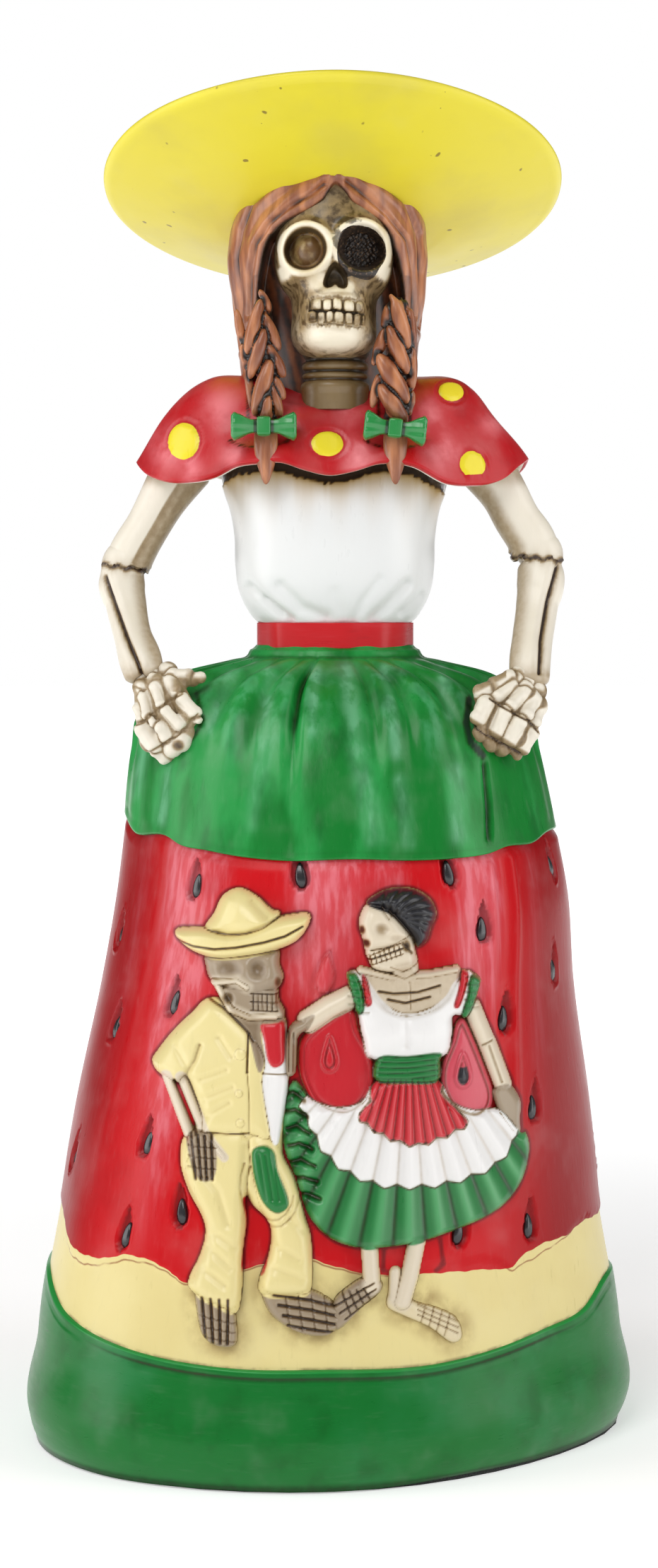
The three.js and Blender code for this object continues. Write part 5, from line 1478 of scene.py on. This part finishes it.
tooth = np.minimum((np.abs(phase) * 2.3) ** 3 + (row_upper / 1.2) ** 3,
                   (np.abs(shift) * 2.35) ** 3 + (row_lower / 1.08) ** 3) ** (1 / 3)
gap = bell(z - bite, 0.2) * in_mouth
lift += in_mouth * (1.3 * np.sqrt(np.clip(1 - tooth**2, 0, 1)) - 0.5 * step(tooth, 0.8, 1.2) * (tooth < 1.5))
lift = (lift - 0.5 * gap) * (ahead > 0.05)
move_points(mesh, rows(x + lift * 0.12 * np.sin(angle), y - lift, z))
well = most(*[step(1.03 - far, 0, 0.08) for far in from_socket]) * (x < 0.5)
pale_rims = [1 - step(far, 1.26, 1.46 + 0.1 * np.sin(z)) for far in from_socket]
pale = most(*pale_rims, *ovals(x, z, RUBBED_PALE))
brow = most(oval(x, z, 2.8, 250.0, 3.6, 1.1), oval(x, z, 1.2, 246.4, 1.2, 3.2, 3))
seams = step(tooth, 0.84, 1.05) * (1 - step(most(row_upper, row_lower), 3.4, 3.8)) * in_mouth
gums = np.abs(np.abs(z - bite) - 2.75) + 0.2 * np.sin(x * 3.1) + 0.15 * np.sin(x * 7.7)
stain = most(
    0.66 * (1 - pale),
    *ovals(x, z, DARK_HOLLOWS),
    0.6 * step(z + np.abs(x - 1) * 0.55, 253.5, 258),
    np.clip(0.95 * gap + 0.74 * seams, 0, 1),
    0.5 * bell(gums, 0.5) * in_mouth,
    0.85 * np.clip(hollows(mesh, 12) * 2.2, 0, 1),
    0.86 * step(nose, -0.1, 0.15),
    # Painted shade where the skull turns back to its sides.
    0.82 * (1 - step(ahead, 0.12, 0.5)),
    bell(from_socket[0] - 0.93, 0.1),
)
stain = np.where(well * (ball < 0.9) > 0.5, 0.0, stain)
record(mesh, stain=stain, blot=step(inward(SPILL, x, z), -0.2, 0.2), well=well, brow=brow, grime=1 - pale)


def skull_paint(finish):
    """Ivory, a brown ball in one socket, and ragged black over the other."""
    soil = finish.noise(620, 4.0).between(0.46, 0.66) * finish.layer("grime").between(0.1, 0.9)
    worn, worn_black = finish.noise(330, 3.0).between(0.42, 0.66), finish.noise(1700, 3.0).between(0.52, 0.72)
    brown_ball = finish.mix(pigment(104, 72, 32), pigment(164, 138, 88), worn)
    speck = finish.mix(pigment(34, 24, 17), pigment(120, 94, 70), worn_black)
    ragged = (finish.noise(900, 3.0) - 0.5) * 0.5
    return finish.coats(
        pigment(236, 226, 204),
        (pigment(206, 188, 148), finish.noise(150, 4.0).between(0.45, 0.75) * 0.6),
        (pigment(104, 84, 52), soil * 0.85),
        (brown_ball, finish.layer("well")),
        (speck, (finish.layer("brow") + ragged * 2.6).between(0.5, 0.9) * 0.8),
        (speck, (finish.layer("blot") + ragged).between(0.4, 0.6)),
    )


settle(mesh, hand_painted("skull_paint", gloss=0.36, mottle=0.05, paint=skull_paint,
                          wash=pigment(62, 48, 28)))

# The neck
# A stout neck with grooves round it like stacked bones, cast with the head and the shoulders
# and painted bone colour under dark wash, with painted shade on its sides and under the jaw.

NECK_RINGS = ((-10, 7.2), (-4.5, 7.0), (-1.9, 6.9), (-1.3, 6.3), (-0.7, 6.8), (-0.1, 6.8), (0.4, 6.2),
              (1.0, 6.8), (2.2, 6.8), (2.8, 6.2), (3.4, 6.7), (8, 6.4))
mesh, turn, rise = barrel("neck", 80, 80)
tall = 212 + 16 * rise
radius = smooth_through(NECK_RINGS, tall - 219.6)[0]
move_points(mesh, rows(0.9 + radius * np.sin(turn), -8.6 - radius * np.cos(turn), tall))
# Wash in the grooves, and painted shade under the jaw.
wash = np.interp(radius, (6.2, 6.7), (1.0, 0.24)) + 0.3 * step(tall, 220.6, 222.8)
# Painted shade on the neck's sides.
wash += 0.4 * np.abs(np.sin(turn)) ** 3
record(mesh, stain=np.clip(wash, 0, 1), paint=pigment(142, 120, 82))
settle(mesh, hand_painted("neck_paint", gloss=0.34, wash=pigment(52, 42, 28)))

# The hair
# Brown hair parted over the brow and drawn back, combed in long shallow strands. It frames the
# face as a pointed arch, with black wash along its edge.

ARCH = (
    (-14.6, 214), (-14.6, 226), (-14.6, 236.0), (-14.0, 241.4), (-12.9, 246.2), (-11.3, 248.4),
    (-9.2, 250.1), (-6.2, 251.4), (-3.8, 252.6), (-1.4, 254.4), (-0.5, 255.9), (0.9, 257.6), (2.8, 256.0),
    (4.0, 254.1), (6.4, 252.0), (9.5, 250.5), (11.6, 248.4), (12.8, 245.4), (13.8, 242.0), (14.6, 236.7),
    (15.0, 226), (14.6, 214),
)
HAIR_FORM = (
    (215.0, -0.3, 17.6, 12.6), (220.0, -0.5, 18.2, 13.6), (226.0, -0.5, 18.8, 15.2),
    (232.0, -0.55, 19.6, 16.6), (240.0, -0.6, 20.4, 17.6), (246.0, -0.75, 20.7, 17.9),
    (252.0, -0.5, 20.2, 17.6), (258.0, 0.2, 18.6, 16.6), (262.0, 0.2, 16.6, 15.2),
    (265.0, 0.2, 14.0, 13.0),
)
PARTINGS = (
    ((-1.4, 257.4), (-4.4, 255.2), (-8.6, 252.9), (-12.4, 250.0), (-15.0, 246), (-16.2, 240.0), (-16.6, 232)),
    ((-11.5, 258.4), (-16.7, 254.8), (-18.8, 249.6), (-19.6, 244), (-19.2, 236), (-18.8, 226)),
    ((3.2, 258.0), (7.2, 255.0), (11.2, 251.8), (15.4, 247.0), (16.6, 241), (16.6, 232)),
    ((9.9, 258.9), (15.7, 255.0), (18.2, 249.0), (18.6, 241), (18.4, 230)),
)
HAT_TILT, HAT_HEIGHT = math.radians(18.9), 260.2
BRIM_MIDDLE = -7.0
mesh, turn, rise = barrel("hair", 340, 160)
angle = turn - 0.3 * np.sin(turn)
tall = 215 + 50 * rise
middle, half_width, half_depth = smooth_through(HAIR_FORM, tall)
forward = 2.2 + np.clip(tall - 248, 0, 20) * 0.38
x = middle + half_width * np.sin(angle)
y = -half_depth * np.cos(angle) - forward * np.cos(angle / 2) ** 2
move_points(mesh, rows(x, y, tall))
gap = np.where(y < -4, -inward(ARCH, x, tall), 12.0)
inside = step(-gap, -0.25, 0.7)
comb = np.hypot(x - 1.0, tall - 259)
sweep = np.arctan2(x - 1.0, 262 - tall)
strand = np.sin(sweep * 8 + comb * 0.1 + np.sin(comb * 0.21) * 0.8) + 0.35 * np.sin(sweep * 23 - comb * 0.2)
back = np.sin(angle * 21 + np.sin(tall * 0.13) * 0.9) + 0.5 * np.sin(angle * 47 + tall * 0.05)
strand = np.where(y < 0, strand, back)
parting = np.where(y < -2, np.minimum.reduce([from_line(lock, x, tall) for lock in PARTINGS]), 20.0)
lift = np.where(y < 0, 0.22, 0.3) * strand * step(gap, 0.2, 2.0)
lift += 0.9 * bell(gap - 1.8, 1.5) * step(tall, 226, 234)
lift -= 0.8 * bell(parting, 0.55) - 0.35 * bell(parting - 1.7, 1.2)
spots = rows(x, y + inside * 6.0, tall) + normals_of(mesh) * (lift * (1 - inside))[:, None]
under_hat = HAT_HEIGHT + (BRIM_MIDDLE - spots[:, 1] * math.sin(HAT_TILT)) / math.cos(HAT_TILT)
spots[:, 2] = np.minimum(spots[:, 2], under_hat)
move_points(mesh, spots)
stain = most(
    0.95 * bell(gap, 0.5) * step(259 - tall, 0, 3),
    inside * (0.7 + 0.14 * np.sin(x * 2.4 + tall * 0.7)),
    0.3 * np.clip(-strand - 0.4, 0, 1),
    (0.5 + 0.35 * np.sin(tall * 0.5 + x)) * bell(parting, 0.4),
    0.42 * (1 - step(gap, 0.5, 4.0)) * (tall < 240) * (y < -6),
)
record(mesh, stain=stain)


def hair_paint(finish):
    """Reddish brown with brushed tan lights."""
    return finish.coats(
        pigment(132, 74, 46),
        (pigment(188, 122, 80), finish.strokes((420, 420, 70)).between(0.35, 0.7)),
        (pigment(104, 56, 38), finish.noise(110, 4.0).between(0.5, 0.75) * 0.5),
    )


hair_finish = hand_painted("hair_paint", gloss=0.36, coat=0.4, mottle=0.08, paint=hair_paint,
                           wash=pigment(30, 20, 16))
settle(mesh, hair_finish)

# The braids
# Two thick plaits in front of the shoulders. Their locks overlap in turn from each side, and
# black wash fills the angles between them. A tuft hangs out below each bow.

LEFT_BRAID = (
    ((-14.5, 236.0), (-12.6, 232.3), 0.95, -18.0), ((-14.4, 233.9), (-17.2, 223.6), 1.45, -18.6),
    ((-13.8, 231.0), (-10.8, 224.4), 1.35, -18.2), ((-13.6, 227.6), (-16.5, 218.6), 1.5, -19.0),
    ((-12.8, 224.5), (-9.8, 218.8), 1.35, -18.6), ((-12.5, 221.2), (-15.5, 211.0), 1.75, -19.4),
    ((-11.8, 218.4), (-9.8, 214.2), 1.15, -18.4), ((-12.6, 217.2), (-10.3, 210.6), 1.15, -19.0),
    ((-13.3, 214.4), (-13.6, 209.6), 1.5, -19.6), ((-19.4, 232.0), (-18.0, 224.4), 1.0, -17.4),
    ((-18.4, 226.0), (-17.0, 219.0), 0.95, -17.6), ((-17.4, 220.6), (-15.8, 210.6), 0.95, -18.0),
)
RIGHT_BRAID = (
    ((12.8, 234.6), (11.0, 228.4), 1.3, -18.0), ((12.6, 234.6), (15.8, 225.0), 1.8, -18.4),
    ((11.6, 229.0), (8.9, 221.2), 1.25, -18.2), ((12.0, 228.2), (15.6, 219.6), 1.7, -18.9),
    ((10.1, 222.3), (15.5, 213.6), 2.0, -19.3), ((10.0, 218.8), (8.6, 212.4), 1.1, -18.3),
    ((10.5, 215.9), (15.0, 209.6), 1.9, -19.6), ((16.8, 215.2), (16.1, 210.6), 0.95, -18.8),
    ((16.4, 232.0), (16.6, 223.0), 1.3, -17.2), ((16.8, 224.6), (16.7, 216.0), 1.2, -17.8),
)


def lock_frame(lock):
    """A lock's middle, its rotation and its half sizes: a long lozenge that leans."""
    (ax, az), (bx, bz), half_width, y = lock
    half_length = math.hypot(bx - ax, bz - az) / 2 + half_width * 0.55
    lean = Matrix.Rotation(-math.atan2(bx - ax, az - bz), 3, "Y")
    return np.array(((ax + bx) / 2, y, (az + bz) / 2)), lean, (half_width, half_width * 1.05, half_length)


def from_locks(spots, locks):
    """How far each point is from the two nearest locks, as a share of their sizes."""
    far = [np.linalg.norm((spots - middle) @ np.array(lean) / sizes, axis=1)
           for middle, lean, sizes in map(lock_frame, locks)]
    return np.sort(far, axis=0)[:2]


def egg(bm, segments, rings, place, lean, sizes):
    """An egg of clay, turned and set in its place."""
    made = bmesh.ops.create_uvsphere(bm, u_segments=segments, v_segments=rings, radius=1)["verts"]
    bmesh.ops.scale(bm, verts=made, vec=sizes)
    bmesh.ops.rotate(bm, verts=made, cent=(0, 0, 0), matrix=lean)
    bmesh.ops.translate(bm, verts=made, vec=place)


for name, locks, side, tuft_x in (("left_braid", LEFT_BRAID, -1, -13.6),
                                  ("right_braid", RIGHT_BRAID, 1, 13.0)):
    bm = bmesh.new()
    for lock in locks:
        egg(bm, 24, 20, *lock_frame(lock))
    rods(bm, ((side * 14.0, -16.0, 233, 2.2), (side * 13.6, -16.6, 222, 2.6), (side * 13.0, -17.6, 210, 2.2)))
    for shift, length, thick in ((-1.1, 5.4, 1.5), (1.0, 5.9, 1.5), (0.0, 6.6, 1.6)):
        place = (tuft_x + shift * 0.8 + 0.3, -20.2 + abs(shift) * 0.5, 202.6)
        egg(bm, 20, 16, place, Matrix.Rotation(shift * 0.14, 3, "Y"), (thick, 1.3, length))
    mesh = fused(name, bm)
    spots = points_of(mesh)
    x, y, z = spots.T
    near, next_near = from_locks(spots, locks)
    plaited = z > 208.6
    cleft = bell(next_near - near, 0.2 + 0.07 * np.sin(z * 1.7)) * plaited
    push(mesh, -0.5 * cleft)
    hollow = 0.6 * np.clip(hollows(mesh, 14) * 3.0 - 0.1, 0, 1)
    wash = most(1.25 * cleft, step(near, 1.1, 1.26) * plaited, hollow, 0.7 * step(y, -17.4, -15.6))
    record(mesh, stain=wash)
    settle(mesh, hair_finish)

# The bows
# A small ribbon bow of two flared loops and a square knot on each braid, cast with it and painted
# glossy green.

BOWS = (("left_bow", (-13.7, -21.6, 208.0), 0.0, (6.7, 2.9, 2.4)),
        ("right_bow", (13.2, -21.6, 207.6), -0.11, (6.4, 3.1, 2.3)))
LOOP_FLARE = (
    (0, 0.52, 0.6), (0.24, 0.5, 0.62), (0.36, 0.5, 0.66), (0.8, 0.92, 1.0), (0.93, 1, 1), (1.0, 0.8, 0.85),
)
KNOT_SIZES = (1.55, 2.3, 4.2)


def squared(turn, how):
    """How much further a squared ring reaches than a round one."""
    return 1 / np.maximum(np.abs(np.sin(turn)), np.abs(np.cos(turn))) ** how


bow_finish = hand_painted("bow_paint", gloss=0.3, coat=0.6, wash=pigment(8, 40, 16))
for name, place, roll, (reach, half_high, half_deep) in BOWS:
    loops, turn, rise = barrel("loops", 64, 70)
    along = (rise - 0.5) * 2
    high, deep = smooth_through(LOOP_FLARE, np.abs(along)) * squared(turn, 0.55)
    high = high * half_high * np.cos(turn)
    deep = deep * half_deep * np.sin(turn) - 0.12 * np.sin(high * 3.2) * np.abs(along)
    move_points(loops, rows(along * reach, deep, high))
    knot, turn, rise = barrel("knot", 48, 24)
    curl = np.clip(np.abs(rise - 0.5) * 8 - 3, 0, 1)
    tip = np.sqrt(np.clip(1 - curl**2, 0.05, 1)) * squared(turn, 0.6)
    wide, deep, high = KNOT_SIZES
    move_points(knot, rows(wide * tip * np.sin(turn), -deep * tip * np.cos(turn), (rise - 0.5) * high))
    mesh = merged(name, [loops, knot])
    spots = points_of(mesh)
    rim = 0.9 * bell(np.abs(spots[:, 0]) - 1.75, 0.35)
    move_points(mesh, spots @ np.array(Matrix.Rotation(-roll, 3, "Y")).T + place)
    record(mesh, stain=rim, paint=pigment(24, 130, 58))
    settle(mesh, bow_finish)

# The hat
# A wide-brimmed yellow hat tipped back on the head, its brim curled up all round. It is smooth,
# with a few specks and faint dents from the casting.

HAT_PROFILE = (
    (0.0, 4, -10.9), (0.06, 14, -10.1), (0.12, 22.6, -8.65), (0.2, 30, -6.9), (0.3, 38, -4.3),
    (0.41, 45.4, -1.8), (0.44, 47.6, -0.95), (0.46, 48.5, 0.1), (0.485, 47.4, 1.15), (0.51, 45.0, 0.7),
    (0.6, 38, -1.6), (0.72, 27, -5.0), (0.765, 22.2, -5.4), (0.785, 20.4, -4.2), (0.83, 19.2, 1.0),
    (0.9, 16.0, 9.4), (0.96, 9.6, 14.6), (1.0, 1.0, 16.4),
)
mesh, turn, rise = barrel("hat", 200, 110)
radius, tall = smooth_through(HAT_PROFILE, rise)
tall += 0.12 * np.sin(turn * 5 + 1) * (radius > 24)
tipped = np.array(Matrix.Rotation(-HAT_TILT, 3, "X"))
move_points(mesh, rows(radius * np.sin(turn), -radius * np.cos(turn), tall) @ tipped.T + (0.4, 0, HAT_HEIGHT))
record(mesh, stain=0.55 * bell(radius - 21.5, 0.8) * (rise > 0.5))


def hat_paint(finish):
    """Yellow, a little uneven, with brown specks."""
    speck = finish.noise(260, 1.0).between(0.745, 0.775) + finish.noise(900, 1.0).between(0.8, 0.83)
    return finish.coats(
        pigment(222, 208, 48),
        (pigment(206, 192, 66), finish.noise(48, 4.0).between(0.4, 0.75) * 0.7),
        (pigment(110, 84, 30), speck * 0.8),
    )


settle(mesh, hand_painted("hat_paint", gloss=0.42, mottle=0.05, paint=hat_paint, streaks=(130, 130, 130),
                          wash=pigment(120, 96, 30)))

# The felt pad
# A thin dark felt cut to the base and glued under it, of which a dark line shows at the foot.
# It keeps the frame's own form.

felt = Finish("felt")
fibre = felt.noise(5200, 4.0)
fluff = felt.mix((0.012, 0.014, 0.013), (0.05, 0.055, 0.05), fibre.between(0.35, 0.7))
felt.surface(Base_Color=fluff, Roughness=0.95)
felt.bump(fibre, 0.6, 0.0003)
pad = frame["nodes"]["felt_pad"]
pad.data.materials.clear()
pad.data.materials.append(felt.material)

# Floor, lights and camera
# The figure stands on a pale floor under soft studio light: a broad light in front and above,
# and a tall strip on each side that gives the paint its long highlights.

bm = bmesh.new()
bmesh.ops.create_grid(bm, x_segments=1, y_segments=1, size=6)
floor = placed("floor", mesh_of(bm, "floor"))
floor_finish = Finish("floor")
# The floor glows as painted light: faintly near the figure and full white further out.
far = floor_finish.node("ShaderNodeVectorMath", {"operation": "LENGTH"}, {0: floor_finish.place}, "Value")
glow = floor_finish.mix((0.42, 0.42, 0.42), (1, 1, 1), far.between(0.1, 0.8))
floor_finish.surface(Base_Color=(0.9, 0.9, 0.9), Emission_Color=glow, Emission_Strength=1.0, Roughness=0.9)
floor.data.materials.append(floor_finish.material)
floor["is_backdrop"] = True


def soft_light(name, place, target, size, power):
    """A rectangular light that faces a point."""
    light = bpy.data.lights.new(name, "AREA")
    light.shape = "RECTANGLE"
    light.size, light.size_y = size
    light.energy = power
    lamp = placed(name, light)
    lamp.location = place
    lamp.rotation_euler = (Vector(target) - Vector(place)).to_track_quat("-Z", "Y").to_euler()


soft_light("left_box", (-0.87, -0.2, 0.5), (0, 0, 0.35), (0.42, 1.0), 3.4)
soft_light("right_box", (0.84, -0.3, 0.5), (0, 0, 0.35), (0.46, 1.0), 3.0)
soft_light("key", (-0.45, -1.0, 1.1), (0, 0, 0.16), (0.7, 0.7), 7.0)
world = bpy.data.worlds.new("studio")
world.use_nodes = True
sky = world.node_tree.nodes
toward = sky.new("ShaderNodeTexCoord")
parts = sky.new("ShaderNodeSeparateXYZ")
ramp = sky.new("ShaderNodeValToRGB")
world.node_tree.links.new(toward.outputs["Generated"], parts.inputs[0])
world.node_tree.links.new(parts.outputs["Y"], ramp.inputs[0])
world.node_tree.links.new(ramp.outputs[0], sky["Background"].inputs["Color"])
stops = ramp.color_ramp.elements
for place in (0.28, 0.91):
    stops.new(place)
for stop, place, grey in zip(stops, (0.12, 0.28, 0.91, 0.965), (0.32, 0.13, 0.13, 1)):
    stop.position = place
    stop.color = (grey, grey, grey, 1)
sky["Background"].inputs["Strength"].default_value = 1.0
bpy.context.scene.world = world
bpy.context.scene.view_settings.view_transform = "Standard"

camera = bpy.data.cameras.new("camera")
camera.sensor_width = 36
camera.lens = 67.08
camera.shift_x = -0.00113
camera.shift_y = -0.10956
camera.clip_start = 0.05
viewer = placed("camera", camera)
viewer.location = (0, -0.620, 0.1699)
viewer.rotation_euler = (math.radians(90), 0, 0)
bpy.context.scene.camera = viewer

low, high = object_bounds()
